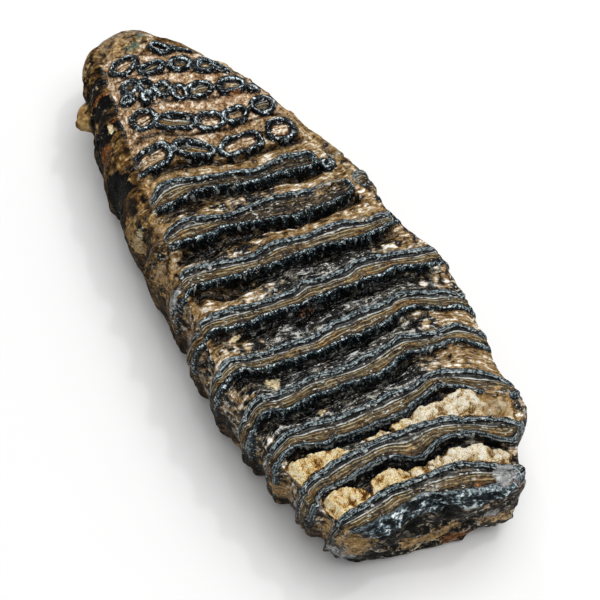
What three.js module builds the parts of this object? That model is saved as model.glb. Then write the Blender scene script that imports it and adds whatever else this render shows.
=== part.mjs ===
import * as THREE from 'three';

// A fossil mammoth molar lying with its chewing face up. Sizes are in millimetres.
// X runs along the tooth from its narrow rounded end to its broad broken end, Y across it
// and Z up from the surface that it rests on.

// Narrow end: the body closes on this point over tipLength.
const tip = { x: -101.3, y: 0.5, z: 19 };
const tipLength = 16;
const tipBluntness = 2.9;              // 2 is an elliptical rounding, higher is squarer
const tipTopBluntness = 0.75;          // below 1 lifts the chewing face sooner behind the tip

// The chewing face and the walls below it.
const faceHeight = { x: [-98, -85, -70, -50, 0, 60, 95], z: [32, 35, 37, 38, 39, 38, 37] };
const faceCrown = 1.5;                 // rise of the middle of the face over its edges
const leftBulgeHeight = 20;
const rightBulgeHeight = 25;
const wallSquareness = 0.8;            // 1 is an elliptical wall, lower is boxier
const brokenEndSwell = 1.6;            // how far the middle of the broken end stands out

// From the widest point of a wall in to the flat underside, at stations along X.
const leftFootInset = { x: [-98, -20, 20, 40, 50, 62, 70, 80], y: [7, 7, 8, 9, 11, 13, 13, 9] };
const tipFootInset = 3;                // added where the narrow end closes
const rightFootInset = { x: [-98, 90], y: [9, 9] };

// Outlines seen from above: Y of each line at stations along X.
const leftFaceEdge = {
  x: [-98, -85, -72, -62, -50, -37, -20, -6, 10, 27, 44, 62, 78],
  y: [0, -5, -9, -12, -16, -19, -24, -28.5, -32, -35, -36, -34, -31],
};
const leftWall = {
  x: [
    -98, -93, -88, -82, -76, -70, -64, -58, -52, -46, -40, -34, -28, -22, -16, -10, -4,
    2, 8, 14, 20, 26, 32, 38, 44, 50, 56, 62, 68, 73, 78, 82,
  ],
  y: [
    -9, -9.5, -12, -14.5, -17, -20, -22, -24.5, -24, -26.5, -28, -28, -29.5, -31,
    -33, -32, -32.5, -35, -35.5, -37.5, -36.5, -38.5, -37, -37, -37.5, -36.5, -36, -35.5,
    -35.5, -33.5, -31.5, -30,
  ],
};
const rightFaceEdge = {
  x: [-98, -85, -75, -64, -52, -40, -22, 7, 21, 38, 50, 67, 80, 90, 96],
  y: [14, 15, 21, 26, 29.5, 31, 31, 34, 36, 34, 31, 28, 21, 14, 6],
};
const rightWall = {
  x: [
    -98, -92, -86, -80, -74, -68, -62, -56, -50, -44, -38, -32, -26, -20, -14, -8, -2, 4,
    10, 16, 22, 28, 34, 40, 46, 52, 58, 64, 70, 75, 79, 82, 86, 89, 91, 93,
  ],
  y: [
    10, 14, 19.5, 23, 25.5, 27.5, 28, 29, 30, 30.5, 33.5, 34.5, 36.5, 37.5, 39, 38, 38,
    35, 36, 39, 39, 39.5, 38.5, 35.5, 35.5, 33, 31, 30, 31, 32, 22, 7, 18, 18.5, 15.5, 11,
  ],
};
const outlineSmoothing = 2;            // half span of the running mean along X
const farOutside = 60;                 // past every outline, on either side
const narrowestWall = 0.3;             // from an edge of the face out to its wall, at least

// How far the broken end leans outwards at the foot, at stations across it.
const endLean = {
  y: [-33, -25, -20, -15, -10, -5, 0, 5, 10, 15, 20],
  x: [-5, -2.5, -1, 1, 0.4, 0.2, -0.6, -1.8, -2, -0.5, 0.4],
};
const leanHeight = 37;
const leanRange = { start: 11.4, end: 13.4 };   // counted in plates from the narrow end

// Enamel plates from the narrow end to the broad end: X of the two enamel bands of each plate
// at the stations across the tooth.
const stationsAcross = [-40, -32, -24, -16, -8, 0, 8, 16, 24, 32, 40];
const plates = [
  {
    far: [-95, -95, -95, -95, -94.4, -91.9, -88, -83.2, -75.6, -73, -73],
    near: [-91, -91, -91, -91, -90.5, -88.3, -83.5, -78.1, -71.4, -69, -69],
  },
  {
    far: [-88, -88, -88, -88, -87.7, -86.7, -79.7, -75.5, -67.7, -62, -62],
    near: [-81, -81, -81, -81, -80.7, -79.4, -74, -68.7, -61.8, -57, -57],
  },
  {
    far: [-79, -79, -79, -79, -78.3, -76.3, -69.5, -64, -60, -55, -55],
    near: [-70, -70, -70, -70, -69, -66.5, -61.8, -57.2, -53.6, -50, -50],
  },
  {
    far: [-68, -68, -68, -68, -67.1, -61.5, -54.7, -51.3, -49.7, -48, -48],
    near: [-60, -60, -60, -59.9, -58.6, -52.7, -47.5, -44.9, -43.3, -41, -41],
  },
  {
    far: [-54, -54, -54, -53.5, -52.5, -47.5, -42.3, -40.4, -39.6, -38, -38],
    near: [-47, -47, -47, -46.3, -45.7, -41.4, -36, -34.3, -32.3, -30, -30],
  },
  {
    far: [-38.5, -38.5, -38.5, -40.3, -38.1, -33.5, -29.7, -27.5, -26, -25, -25],
    near: [-34.5, -34.5, -34.5, -33.8, -32.6, -29, -24.8, -23.1, -20.5, -20, -20],
  },
  {
    far: [-25.5, -25.5, -25.9, -27.1, -22.4, -19.5, -17.9, -15.1, -13.1, -11, -11],
    near: [-22.5, -22.5, -22.3, -19.9, -17.9, -14, -10.2, -7.7, -6.1, -6.5, -6.5],
  },
  {
    far: [-9, -9.8, -12.8, -9.5, -5.7, -5.3, -2.3, -0.8, 2, 4.5, 5],
    near: [-5, -5.8, -7, -3.9, -0.9, 1, 2.9, 5.3, 7.7, 8.5, 8.5],
  },
  {
    far: [5.5, 3.8, 3.8, 6.6, 9.4, 10, 12.6, 13.2, 16, 19, 21],
    near: [9, 7.8, 9, 11.8, 14.1, 16, 17.9, 19.3, 21.3, 24.7, 26],
  },
  {
    far: [19.4, 16.9, 19.8, 22.2, 24.7, 25, 26.4, 28, 30, 35.2, 38],
    near: [22.9, 21.4, 24.3, 27.1, 29.6, 31, 32.6, 32.6, 35.8, 40.5, 43],
  },
  {
    far: [34.1, 31.4, 33.2, 34.4, 36.6, 38.4, 38.5, 40.4, 43.5, 49.4, 51],
    near: [39, 35.6, 38.6, 39.8, 41.9, 44.3, 43.9, 45.9, 47.8, 55.4, 56],
  },
  {
    far: [46.2, 43.9, 45.3, 48.2, 49.7, 51, 52.3, 53.6, 59.2, 66.9, 67],
    near: [50.7, 47.7, 51.3, 53.7, 55.9, 57.4, 56.7, 59.1, 67.3, 70, 70],
  },
  {
    far: [60.8, 57.8, 58.5, 58.9, 60.6, 63, 65.8, 70.7, 76.9, 78, 78],
    near: [65.9, 62.9, 63.6, 64, 68, 70, 70.7, 77.4, 79.8, 80, 80],
  },
  {
    far: [72.9, 71.7, 72.5, 72.9, 74.9, 76.6, 81.1, 86.8, 87, 87, 87],
    near: [76.5, 75.9, 77.8, 78.7, 81.2, 84.5, 88.4, 89, 89, 89, 89],
  },
];

// Each pitch starts at a plate's far enamel band. Its near band is at plateShare of the pitch.
const plateShare = 0.4;
const endGap = 6;                      // cement left beyond the last plate, were it not broken off
const reliefFade = 6;                  // the relief fades over a sixth of the width at each edge
const faceRelief = { at: [0, 0.2, 0.4, 0.5, 0.78, 1], rise: [1, 0, 1, -2.2, -1.2, 1] };
const wallRelief = { at: [0, 0.2, 0.4, 0.55, 0.8, 1], rise: [0.6, 1.2, 0.6, -1, -1, 0.6] };

// Small round knob on the left wall near the narrow end.
const knob = { x: -81.5, z: 24, radius: 4.4, rise: 4.6, towards: { x: -0.2, y: -0.95 } };

// Mesh density.
const ringsInPitch = [0, 0.2, 0.4, 0.5, 0.78];
const ringsBeforePlates = [0.03, 0.2, 0.45, 0.72];
const columnsFace = 28;
const columnsWall = 5;                 // above and below the widest point of each wall
const columnsFoot = 6;
const brokenEndRings = [0.75, 0.4];    // sizes of the rings that close the broken end

function interpolate(at, values, x) {
  if (x <= at[0]) return values[0];
  for (let i = 1; i < at.length; i += 1) {
    if (x <= at[i]) {
      const t = (x - at[i - 1]) / (at[i] - at[i - 1]);
      return values[i - 1] + t * (values[i] - values[i - 1]);
    }
  }
  return values[values.length - 1];
}

function smoothed(at, values, x) {
  const near = interpolate(at, values, x - outlineSmoothing);
  const far = interpolate(at, values, x + outlineSmoothing);
  return (near + interpolate(at, values, x) + far) / 3;
}

// 0 at the tip, 1 where the rounding of the narrow end is over.
function fullness(x) {
  const short = Math.min(1, Math.max(0, (tip.x + tipLength - x) / tipLength));
  return (1 - short ** tipBluntness) ** (1 / tipBluntness);
}

const outlineY = (outline, x) => tip.y + (smoothed(outline.x, outline.y, x) - tip.y) * fullness(x);

function faceZ(x) {
  const above = smoothed(faceHeight.x, faceHeight.z, x) - tip.z;
  return tip.z + above * fullness(x) ** tipTopBluntness;
}

const footZ = (x) => tip.z * (1 - fullness(x));

// X of a ring where it crosses Y. A ring's place counts plates: 3.2 is the middle of the
// fourth plate, and 3.7 is in the cement between the fourth and the fifth.
function ringX(place, y) {
  const index = Math.floor(place);
  const part = place - index;
  const farX = (i) => interpolate(stationsAcross, plates[i].far, y);
  const nearX = (i) => interpolate(stationsAcross, plates[i].near, y);
  if (index >= 0 && part <= plateShare) {
    return farX(index) + (nearX(index) - farX(index)) * part / plateShare;
  }
  const gapStart = index >= 0 ? nearX(index) : tip.x;
  const next = index + 1;
  const gapEnd = next < plates.length ? farX(next) : gapStart + endGap;
  return gapStart + (gapEnd - gapStart) * (part - plateShare) / (1 - plateShare);
}

// Y where a ring meets an outline, found by halving the range from the middle outwards.
function ringEdge(place, outline, side) {
  let inside = tip.y;
  let outside = side * farOutside;
  for (let step = 0; step < 24; step += 1) {
    const y = (inside + outside) / 2;
    const clear = (outlineY(outline, ringX(place, y)) - y) * side;
    if (clear > 0) inside = y;
    else outside = y;
  }
  return (inside + outside) / 2;
}

function wallPoint(place, edgeY, bulgeY, footY, bulgeZ, turn) {
  const x = ringX(place, bulgeY);
  const side = Math.sin(turn);
  const top = Math.cos(turn);
  const rib = interpolate(wallRelief.at, wallRelief.rise, place - Math.floor(place)) * fullness(x);
  const widest = footZ(x) + (bulgeZ - footZ(x)) * fullness(x);
  const level = top > 0
    ? widest + (faceZ(x) - widest) * top ** wallSquareness
    : widest + (footZ(x) - widest) * (-top) ** wallSquareness;
  const innerY = top > 0 ? edgeY : footY;
  const out = Math.sign(bulgeY - tip.y);
  const y = innerY + (bulgeY - innerY) * side ** wallSquareness + out * rib * side;
  return new THREE.Vector3(x, y, Math.max(0, level + rib * top * 0.5));
}

// One closed ring of points: across the face, down the right wall, back under the foot
// and up the left wall.
function ring(place) {
  const part = place - Math.floor(place);
  const left = ringEdge(place, leftFaceEdge, -1);
  const right = ringEdge(place, rightFaceEdge, 1);
  const leftBulge = Math.min(left - narrowestWall, ringEdge(place, leftWall, -1));
  const rightBulge = Math.max(right + narrowestWall, ringEdge(place, rightWall, 1));
  const shrink = fullness(ringX(place, tip.y));
  const leftInset = smoothed(leftFootInset.x, leftFootInset.y, ringX(place, leftBulge));
  const rightInset = smoothed(rightFootInset.x, rightFootInset.y, ringX(place, rightBulge));
  const leftFoot = leftBulge + (leftInset + tipFootInset * (1 - shrink)) * shrink;
  const rightFoot = rightBulge - (rightInset + tipFootInset * (1 - shrink)) * shrink;
  const points = [];
  for (let i = 0; i <= columnsFace; i += 1) {
    const across = i / columnsFace;
    const y = left + (right - left) * across;
    const x = ringX(place, y);
    const fade = Math.min(1, reliefFade * across, reliefFade * (1 - across)) * fullness(x);
    const crown = faceCrown * (1 - (2 * across - 1) ** 2) * fullness(x);
    const relief = interpolate(faceRelief.at, faceRelief.rise, part) * fade;
    points.push(new THREE.Vector3(x, y, faceZ(x) + crown + relief));
  }
  for (let i = 1; i < 2 * columnsWall; i += 1) {
    const turn = Math.PI * i / (2 * columnsWall);
    points.push(wallPoint(place, right, rightBulge, rightFoot, rightBulgeHeight, turn));
  }
  for (let i = 0; i <= columnsFoot; i += 1) {
    const y = rightFoot + (leftFoot - rightFoot) * i / columnsFoot;
    const x = ringX(place, y);
    points.push(new THREE.Vector3(x, y, footZ(x)));
  }
  for (let i = 2 * columnsWall - 1; i > 0; i -= 1) {
    const turn = Math.PI * i / (2 * columnsWall);
    points.push(wallPoint(place, left, leftBulge, leftFoot, leftBulgeHeight, turn));
  }
  return points;
}

function raiseKnob(point) {
  if (point.y > tip.y) return;
  const away = Math.hypot(point.x - knob.x, point.z - knob.z) / knob.radius;
  if (away > 1) return;
  const rise = knob.rise * Math.sqrt(1 - away ** 2);
  point.x += rise * knob.towards.x;
  point.y += rise * knob.towards.y;
}

// The rings near the broken end lean with it.
function lean(point, place) {
  const t = Math.min(1, Math.max(0, (place - leanRange.start) / (leanRange.end - leanRange.start)));
  const atFoot = 1 - Math.min(1, Math.max(0, point.z / leanHeight));
  point.x += interpolate(endLean.y, endLean.x, point.y) * atFoot * t * t * (3 - 2 * t);
}

function ringPlaces() {
  const places = ringsBeforePlates.map((gap) => plateShare + gap * (1 - plateShare) - 1);
  for (let i = 0; i < plates.length; i += 1) {
    const last = i === plates.length - 1;
    for (const part of ringsInPitch) {
      if (!last || part <= plateShare) places.push(i + part);
    }
  }
  return places;
}

function toothGeometry() {
  const places = ringPlaces();
  const rings = places.map(ring);
  rings.forEach((points, row) => {
    for (const point of points) {
      raiseKnob(point);
      lean(point, places[row]);
    }
  });

  // The broken end is closed by smaller copies of the last ring.
  const lastPlace = plates.length - 1 + plateShare;
  const last = rings[rings.length - 1];
  const middle = last.reduce((sum, point) => sum.add(point), new THREE.Vector3());
  middle.divideScalar(last.length);
  for (const size of brokenEndRings) {
    rings.push(last.map((point) => {
      const inner = point.clone().lerp(middle, 1 - size);
      inner.x = ringX(lastPlace, inner.y) + brokenEndSwell * (1 - size);
      lean(inner, lastPlace);
      return inner;
    }));
  }
  middle.x = ringX(lastPlace, middle.y) + brokenEndSwell;
  lean(middle, lastPlace);

  const around = last.length;
  const first = rings[0].reduce((sum, point) => sum.add(point), new THREE.Vector3());
  first.divideScalar(around);
  const points = [first, ...rings.flat(), middle];
  const triangles = [];
  const at = (row, column) => 1 + row * around + column % around;
  for (let column = 0; column < around; column += 1) {
    triangles.push(0, at(0, column), at(0, column + 1));
    for (let row = 0; row < rings.length - 1; row += 1) {
      const a = at(row, column);
      const b = at(row, column + 1);
      const c = at(row + 1, column + 1);
      const d = at(row + 1, column);
      triangles.push(a, c, b, a, d, c);
    }
    const end = rings.length - 1;
    triangles.push(at(end, column + 1), at(end, column), points.length - 1);
  }

  const geometry = new THREE.BufferGeometry().setFromPoints(points);
  geometry.setIndex(triangles);
  geometry.computeBoundingBox();
  const centre = geometry.boundingBox.getCenter(new THREE.Vector3());
  geometry.translate(-centre.x, -centre.y, -geometry.boundingBox.min.z);
  geometry.computeVertexNormals();
  return geometry;
}

const fossil = new THREE.MeshStandardMaterial({ color: 0x4a3d2e, roughness: 0.5, metalness: 0 });
const tooth = new THREE.Mesh(toothGeometry(), fossil);
tooth.name = 'mammoth_molar';

const model = new THREE.Group();
model.add(tooth);

export default model;
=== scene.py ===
import itertools
import math
import time

import bmesh
import bpy
import numpy as np
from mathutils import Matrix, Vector


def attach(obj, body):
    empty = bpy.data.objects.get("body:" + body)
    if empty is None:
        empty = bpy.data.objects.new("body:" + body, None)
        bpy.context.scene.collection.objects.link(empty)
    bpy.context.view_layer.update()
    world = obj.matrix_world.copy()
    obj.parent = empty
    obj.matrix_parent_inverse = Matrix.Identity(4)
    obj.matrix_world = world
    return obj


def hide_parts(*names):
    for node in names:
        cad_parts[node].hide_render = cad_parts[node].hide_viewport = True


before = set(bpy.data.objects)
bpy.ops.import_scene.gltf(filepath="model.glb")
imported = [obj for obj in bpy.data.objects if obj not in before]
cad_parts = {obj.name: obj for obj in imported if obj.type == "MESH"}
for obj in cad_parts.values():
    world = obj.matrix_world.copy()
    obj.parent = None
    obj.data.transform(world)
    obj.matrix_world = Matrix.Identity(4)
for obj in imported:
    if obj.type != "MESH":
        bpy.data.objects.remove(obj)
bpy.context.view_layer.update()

startTime = time.time()
mm = 0.001
farAway = 99.0                             # past every distance on the tooth, in mm
tiny = 1e-6


def report(stage):
    print(f"{stage}: {time.time() - startTime:.1f} s")


# The tooth lies on its root side with the chewing face up. Lengths are in mm:
# x runs from the narrow end to the broken end, y across, z up.
tooth = {
    "tip": (-101.3, 0.5, 19),              # where the narrow end closes
    "tipLength": 16,
    "tipBlunt": 2.9,                       # 2 is an ellipse, more is blunter
    "tipTopBlunt": 0.75,                   # below 1 lifts the chewing face sooner behind the tip
    "faceHeight": ([-98, -85, -70, -50, 0, 60, 95], [32, 35, 37, 38, 39, 38, 37]),
    "crown": 1.5,                          # rise of the middle of the chewing face
    "bulgeHeight": {"left": 20, "right": 25},    # widest level of a wall
    "leftInset": ([-98, -20, 20, 40, 50, 62, 70, 80], [7, 7, 8, 9, 11, 13, 13, 9]),
    "rightInset": ([-98, 90], [9, 9]),
    "tipInset": 3,                         # added where the narrow end closes
    "ledge": 0.3,                          # least distance from an edge of the face out to its wall
    "square": 0.8,                         # below 1 makes the walls boxier
    "endSwell": 1.6,                       # how far the middle of the broken end stands out
    "endRim": 1.3,                         # rounding of its upper edge
    "leftFaceEdge": (
        [-98, -85, -72, -62, -50, -37, -20, -6, 10, 27, 44, 62, 78],
        [0, -5, -9, -12, -16, -19, -24, -28.5, -32, -35, -36, -34, -31],
    ),
    "leftWall": (
        [-98, -93, -88, -82, -76, -70, -64, -58, -52, -46, -40, -34, -28, -22, -16, -10, -4, 2, 8, 14,
         20, 26, 32, 38, 44, 50, 56, 62, 68, 73, 78, 82],
        [-9, -9.5, -12, -14.5, -17, -20, -22, -24.5, -24, -26.5, -28, -28, -29.5, -31, -33, -32,
         -32.5, -35, -35.5, -37.5, -36.5, -38.5, -37, -37, -37.5, -36.5, -36, -35.5, -35.5, -33.5,
         -31.5, -30],
    ),
    "rightFaceEdge": (
        [-98, -85, -75, -64, -52, -40, -22, 7, 21, 38, 50, 67, 80, 90, 96],
        [14, 15, 21, 26, 29.5, 31, 31, 34, 36, 34, 31, 28, 21, 14, 6],
    ),
    "rightWall": (
        [-98, -92, -86, -80, -74, -68, -62, -56, -50, -44, -38, -32, -26, -20, -14, -8, -2, 4, 10, 16,
         22, 28, 34, 40, 46, 52, 58, 64, 70, 75, 79, 82, 86, 89, 91, 93],
        [10, 14, 19.5, 23, 25.5, 27.5, 28, 29, 30, 30.5, 33.5, 34.5, 36.5, 37.5, 39, 38, 38, 35, 36,
         39, 39, 39.5, 38.5, 35.5, 35.5, 33, 31, 30, 31, 32, 22, 7, 18, 18.5, 15.5, 11],
    ),
    "endLean": (
        [-33, -25, -20, -15, -10, -5, 0, 5, 10, 15, 20],
        [-5, -2.5, -1, 1, 0.4, 0.2, -0.6, -1.8, -2, -0.5, 0.4],
    ),
    "leanHeight": 37,
    "faceColumns": 120,
    "wallColumns": {"left": 32, "right": 24},
    "footColumns": 14,
    "rimSizes": [0.985, 0.965],            # the first rings of the broken end, close together
    "endSizes": (0.94, 0.02),
    "endRings": 36,
    "endMiddle": 0.95,                     # height of its middle as a share of the mean height
    "tipRings": 30,
    "tipCrowding": 1.7,                    # above 1 sets the rings closer toward the tip
    "plateRings": 15,
    "gapParts": [0.42, 0.44, 0.46, 0.48, 0.505, 0.535, 0.57, 0.61, 0.65, 0.69, 0.73, 0.77, 0.81,
                 0.845, 0.88, 0.91, 0.94, 0.97],
}

# The enamel plates from the narrow end. far and near are the two enamel bands of a plate as
# (y stations, x there); ends are where the bands close on each other across the face, if they do.
# gold is how much of the dentine is golden, and cement how tan the cement behind the plate is,
# at the y stations of toneStations; drop is how deep that cement lies, recess how far it stays deep.
toneStations = [-32, -16, 0, 16, 32]
plates = [
    {"far": ([-10, 0, 8, 13, 17, 21, 26],
             [-95, -92, -88, -85.5, -82.5, -79.5, -73]),
     "near": ([-10, 0, 8, 13, 17, 21, 26],
              [-91, -88.5, -83.5, -80, -77.5, -75, -69]),
     "ends": None, "gold": [0.3, 0.3, 0.3, 0.3, 0.3], "cement": [1, 1, 1, 1, 1],
     "drop": 0.2, "recess": 0.15},
    {"far": ([-10, -4, 0, 4, 7, 11, 15, 20, 24, 28],
             [-88, -87, -87, -84, -80, -78.5, -76.5, -71.5, -68, -62]),
     "near": ([-10, -4, 0, 4, 7, 11, 15, 20, 24, 28],
              [-81, -80, -79.6, -77, -74.5, -72.5, -69.5, -65.5, -62, -57]),
     "ends": None, "gold": [0.3, 0.3, 0.3, 0.3, 0.3], "cement": [1, 1, 0.95, 0.95, 1],
     "drop": 0.25, "recess": 0.15},
    {"far": ([-12, -6, 0, 5, 10, 15, 20, 25, 30],
             [-79, -78, -76.5, -72.5, -67.5, -64.5, -62, -59.5, -55]),
     "near": ([-12, -6, 0, 5, 10, 15, 20, 25, 30],
              [-70, -68.5, -66.5, -64.5, -60, -57.5, -56, -53, -50]),
     "ends": None, "gold": [0.4, 0.4, 0.4, 0.4, 0.4], "cement": [1, 1, 0.9, 0.9, 1],
     "drop": 0.4, "recess": 0.2},
    {"far": ([-16, -10, -5, 0, 5, 10, 15, 20, 25, 30],
             [-68, -67.5, -66.5, -61.5, -56.5, -53.5, -51.5, -50.5, -49.5, -48]),
     "near": ([-16, -10, -5, 0, 5, 10, 15, 20, 25, 30],
              [-60, -59, -58, -52.5, -49, -46.5, -45, -44.5, -43, -41]),
     "ends": None, "gold": [0.5, 0.5, 0.5, 0.4, 0.4], "cement": [1, 1, 0.9, 0.95, 1],
     "drop": 0.8, "recess": 0.25},
    {"far": ([-22, -18, -12, -6, 0, 5, 10, 15, 20, 25, 30],
             [-54, -53.5, -53.5, -52, -47.5, -43.5, -41.5, -40.5, -40, -39.5, -38]),
     "near": ([-22, -18, -12, -6, 0, 5, 10, 15, 20, 25, 30],
              [-47, -46.5, -46, -45.5, -41.5, -37.5, -35, -34.5, -33.5, -32, -30]),
     "ends": None, "gold": [0.6, 0.6, 0.5, 0.5, 0.5], "cement": [0.95, 0.85, 0.9, 0.9, 1],
     "drop": 1.8, "recess": 0.35},
    {"far": ([-19, -15, -10, -5, 0, 5, 10, 15, 20, 24, 27],
             [-38.5, -41, -39.5, -36, -33.5, -31.5, -28.5, -27.5, -27.5, -26, -25]),
     "near": ([-19, -15, -10, -5, 0, 5, 10, 15, 20, 24, 27],
              [-34.5, -33.5, -33, -32, -29, -26, -24, -23.5, -21.5, -20.5, -20]),
     "ends": (-20.3, 27.5), "gold": [0.8, 0.8, 0.15, 0.1, 0.2], "cement": [0.95, 0.85, 0.45, 0.7, 1],
     "drop": 2.4, "recess": 0.45},
    {"far": ([-25, -22, -18, -15, -10, -5, 0, 5, 10, 15, 20, 25, 29],
             [-25.5, -26.5, -27.5, -27, -23.5, -20.8, -19.5, -18.5, -17.5, -15.5, -13.5, -13, -11]),
     "near": ([-25, -20, -15, -10, -5, -2, 2, 5, 10, 15, 20, 25, 29],
              [-22.5, -21.5, -19.5, -18.5, -17, -15, -13, -12, -9, -8, -6.5, -6, -6.5]),
     "ends": (-25.8, 30.5), "gold": [0.9, 0.6, 0.15, 0.2, 0.3], "cement": [1, 0.4, 0.6, 0.9, 1],
     "drop": 3.2, "recess": 0.5},
    {"far": ([-34, -30, -27, -25, -22, -20, -15, -10, -8, -5, 0, 5, 10, 15, 20, 25, 30, 34],
             [-9, -10.5, -12.5, -13, -12.5, -11.5, -9, -6.5, -5.5, -5.5, -5.5, -3.5, -1.5, -1, 0, 2.5, 4,
              5]),
     "near": ([-34, -31, -28, -25, -20, -15, -10, -5, 0, 5, 10, 15, 20, 25, 30, 34],
              [-5, -6.2, -7, -7.5, -5.5, -3.5, -1.5, 0, 1, 2, 3.5, 5, 6.5, 8, 8.5, 8.5]),
     "ends": (-99, 34.5), "gold": [0.9, 0.8, 0.35, 0.5, 0.8], "cement": [1, 0.65, 0.2, 0.25, 0.6],
     "drop": 3, "recess": 0.45},
    {"far": ([-37, -33, -30, -27, -25, -20, -15, -10, -5, 0, 5, 10, 15, 20, 25, 30, 34, 37],
             [5.5, 4.5, 2.5, 2.5, 3.5, 5, 7, 9, 10, 9.8, 12, 13, 13, 14, 16.5, 18, 20, 21]),
     "near": ([-37, -33, -30, -27, -25, -20, -15, -10, -5, 0, 5, 10, 15, 20, 25, 30, 33, 37],
              [9, 8, 7.5, 7.5, 8.5, 11, 12, 13.5, 15, 16, 17, 18.5, 19, 20.5, 21.5, 24, 25, 26]),
     "ends": (-99, 37.5), "gold": [0.8, 0.7, 0.6, 0.8, 0.9], "cement": [0.7, 0.3, 0.15, 0.1, 0.5],
     "drop": 2.2, "recess": 0.35},
    {"far": ([-40, -36, -33, -30, -28, -25, -20, -15, -10, -5, 0, 5, 10, 15, 20, 25, 30, 33, 36],
             [19.5, 18.5, 17, 16.5, 17.5, 19.5, 21, 22.5, 24.5, 25, 25, 25.5, 27, 28, 28, 30.5, 33.5, 36,
              38]),
     "near": ([-40, -36, -33, -30, -28, -25, -20, -15, -10, -5, 0, 5, 10, 15, 20, 25, 30, 33, 36],
              [23, 22.5, 21.5, 21, 21.5, 24, 25.5, 27.5, 29, 30.5, 31, 32, 33, 32.5, 33, 36.5, 39.5, 41,
               43]),
     "ends": (-99, 35.5), "gold": [0.9, 1, 1, 0.9, 0.9], "cement": [0.5, 0.15, 0.12, 0.3, 0.9],
     "drop": 2.3, "recess": 0.35},
    {"far": ([-42, -37, -35, -30, -25, -20, -15, -10, -5, 0, 5, 10, 13, 17, 20, 22, 25, 28, 31, 33],
             [34.5, 33.5, 32, 31, 33, 34, 34.5, 36, 37.5, 38.5, 38.5, 38.5, 38.5, 41, 42.5, 43.5, 43.5,
              44.5, 48, 51]),
     "near": ([-42, -38, -35, -33, -30, -27, -25, -20, -15, -10, -5, 0, 5, 10, 13, 16, 20, 24, 27, 29,
               31, 33],
              [39.5, 38.5, 37.5, 35.5, 35.5, 37.5, 38.5, 39, 40, 41.5, 42.5, 44.5, 44.5, 43.5, 44.5, 46,
               47, 47.5, 50, 53, 55, 56]),
     "ends": (-99, 33), "gold": [1, 0.9, 0.7, 0.8, 0.5], "cement": [0.4, 0.1, 0.05, 0.55, 1],
     "drop": 2.2, "recess": 0.35},
    {"far": ([-41, -37, -33, -30, -27, -23, -20, -17, -13, -10, -5, 0, 5, 8, 10, 15, 20, 25, 28, 31],
             [46.5, 45.5, 44, 43.5, 44.5, 45.5, 46.5, 48, 49, 49.5, 50, 51, 52, 52.5, 52, 53, 56, 60, 64,
              67]),
     "near": ([-41, -37, -35, -32, -30, -27, -25, -20, -15, -10, -5, 0, 5, 10, 13, 16, 19, 22, 25, 28,
               31],
              [51, 50, 48.5, 47.5, 48, 49.5, 51, 52.5, 54, 55.5, 56.5, 57.5, 57, 56.5, 57, 59, 62, 66,
               68, 68.5, 70]),
     "ends": (-99, 30), "gold": [1, 0.9, 0.7, 0.8, 0.6], "cement": [0.5, 0.2, 0.2, 0.6, 0.9],
     "drop": 2.4, "recess": 0.3},
    {"far": ([-41, -38, -35, -32, -28, -25, -20, -15, -10, -5, 0, 5, 10, 15, 18, 22, 25],
             [61, 60.5, 59, 57.5, 58, 58.5, 58.5, 59, 60, 61.5, 63, 64, 67, 70, 72, 75, 78]),
     "near": ([-40, -36, -33, -30, -25, -20, -15, -10, -7, -5, 0, 3, 8, 12, 15, 18, 20, 23, 25],
              [66, 65, 63, 62.5, 63.5, 64, 64, 66, 69, 70.5, 70, 69.5, 70.5, 73, 76, 80, 80.5, 79.5, 80]),
     "ends": (-99, 24.5), "gold": [1, 1, 0.9, 0.8, 0.7], "cement": [0.5, 0.2, 0.3, 0.5, 0.6],
     "drop": 2.8, "recess": 0.3},
    {"far": ([-40, -36, -33, -30, -25, -20, -15, -10, -5, 0, 5, 8, 11, 14, 16],
             [73, 72.5, 71.5, 72, 72.5, 72.5, 73, 74.5, 75.5, 76.5, 78.5, 81, 84, 86, 87]),
     "near": ([-38, -33, -30, -25, -20, -15, -10, -5, 0, 5, 8, 12, 15],
              [76.5, 75.5, 76.5, 77.7, 78.2, 78.8, 80.3, 82.5, 84.5, 87, 88.5, 89.5, 89]),
     "ends": (-99, 15.5), "gold": [0.7, 0.5, 0.4, 0.5, 0.6], "cement": [0.5, 0.3, 0.3, 0.4, 0.5],
     "drop": 1, "recess": 0.3},
]
lastPlate = len(plates) - 1
plateShare = 0.4                           # a pitch is a plate up to here, then cement
endGap = 6

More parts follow.
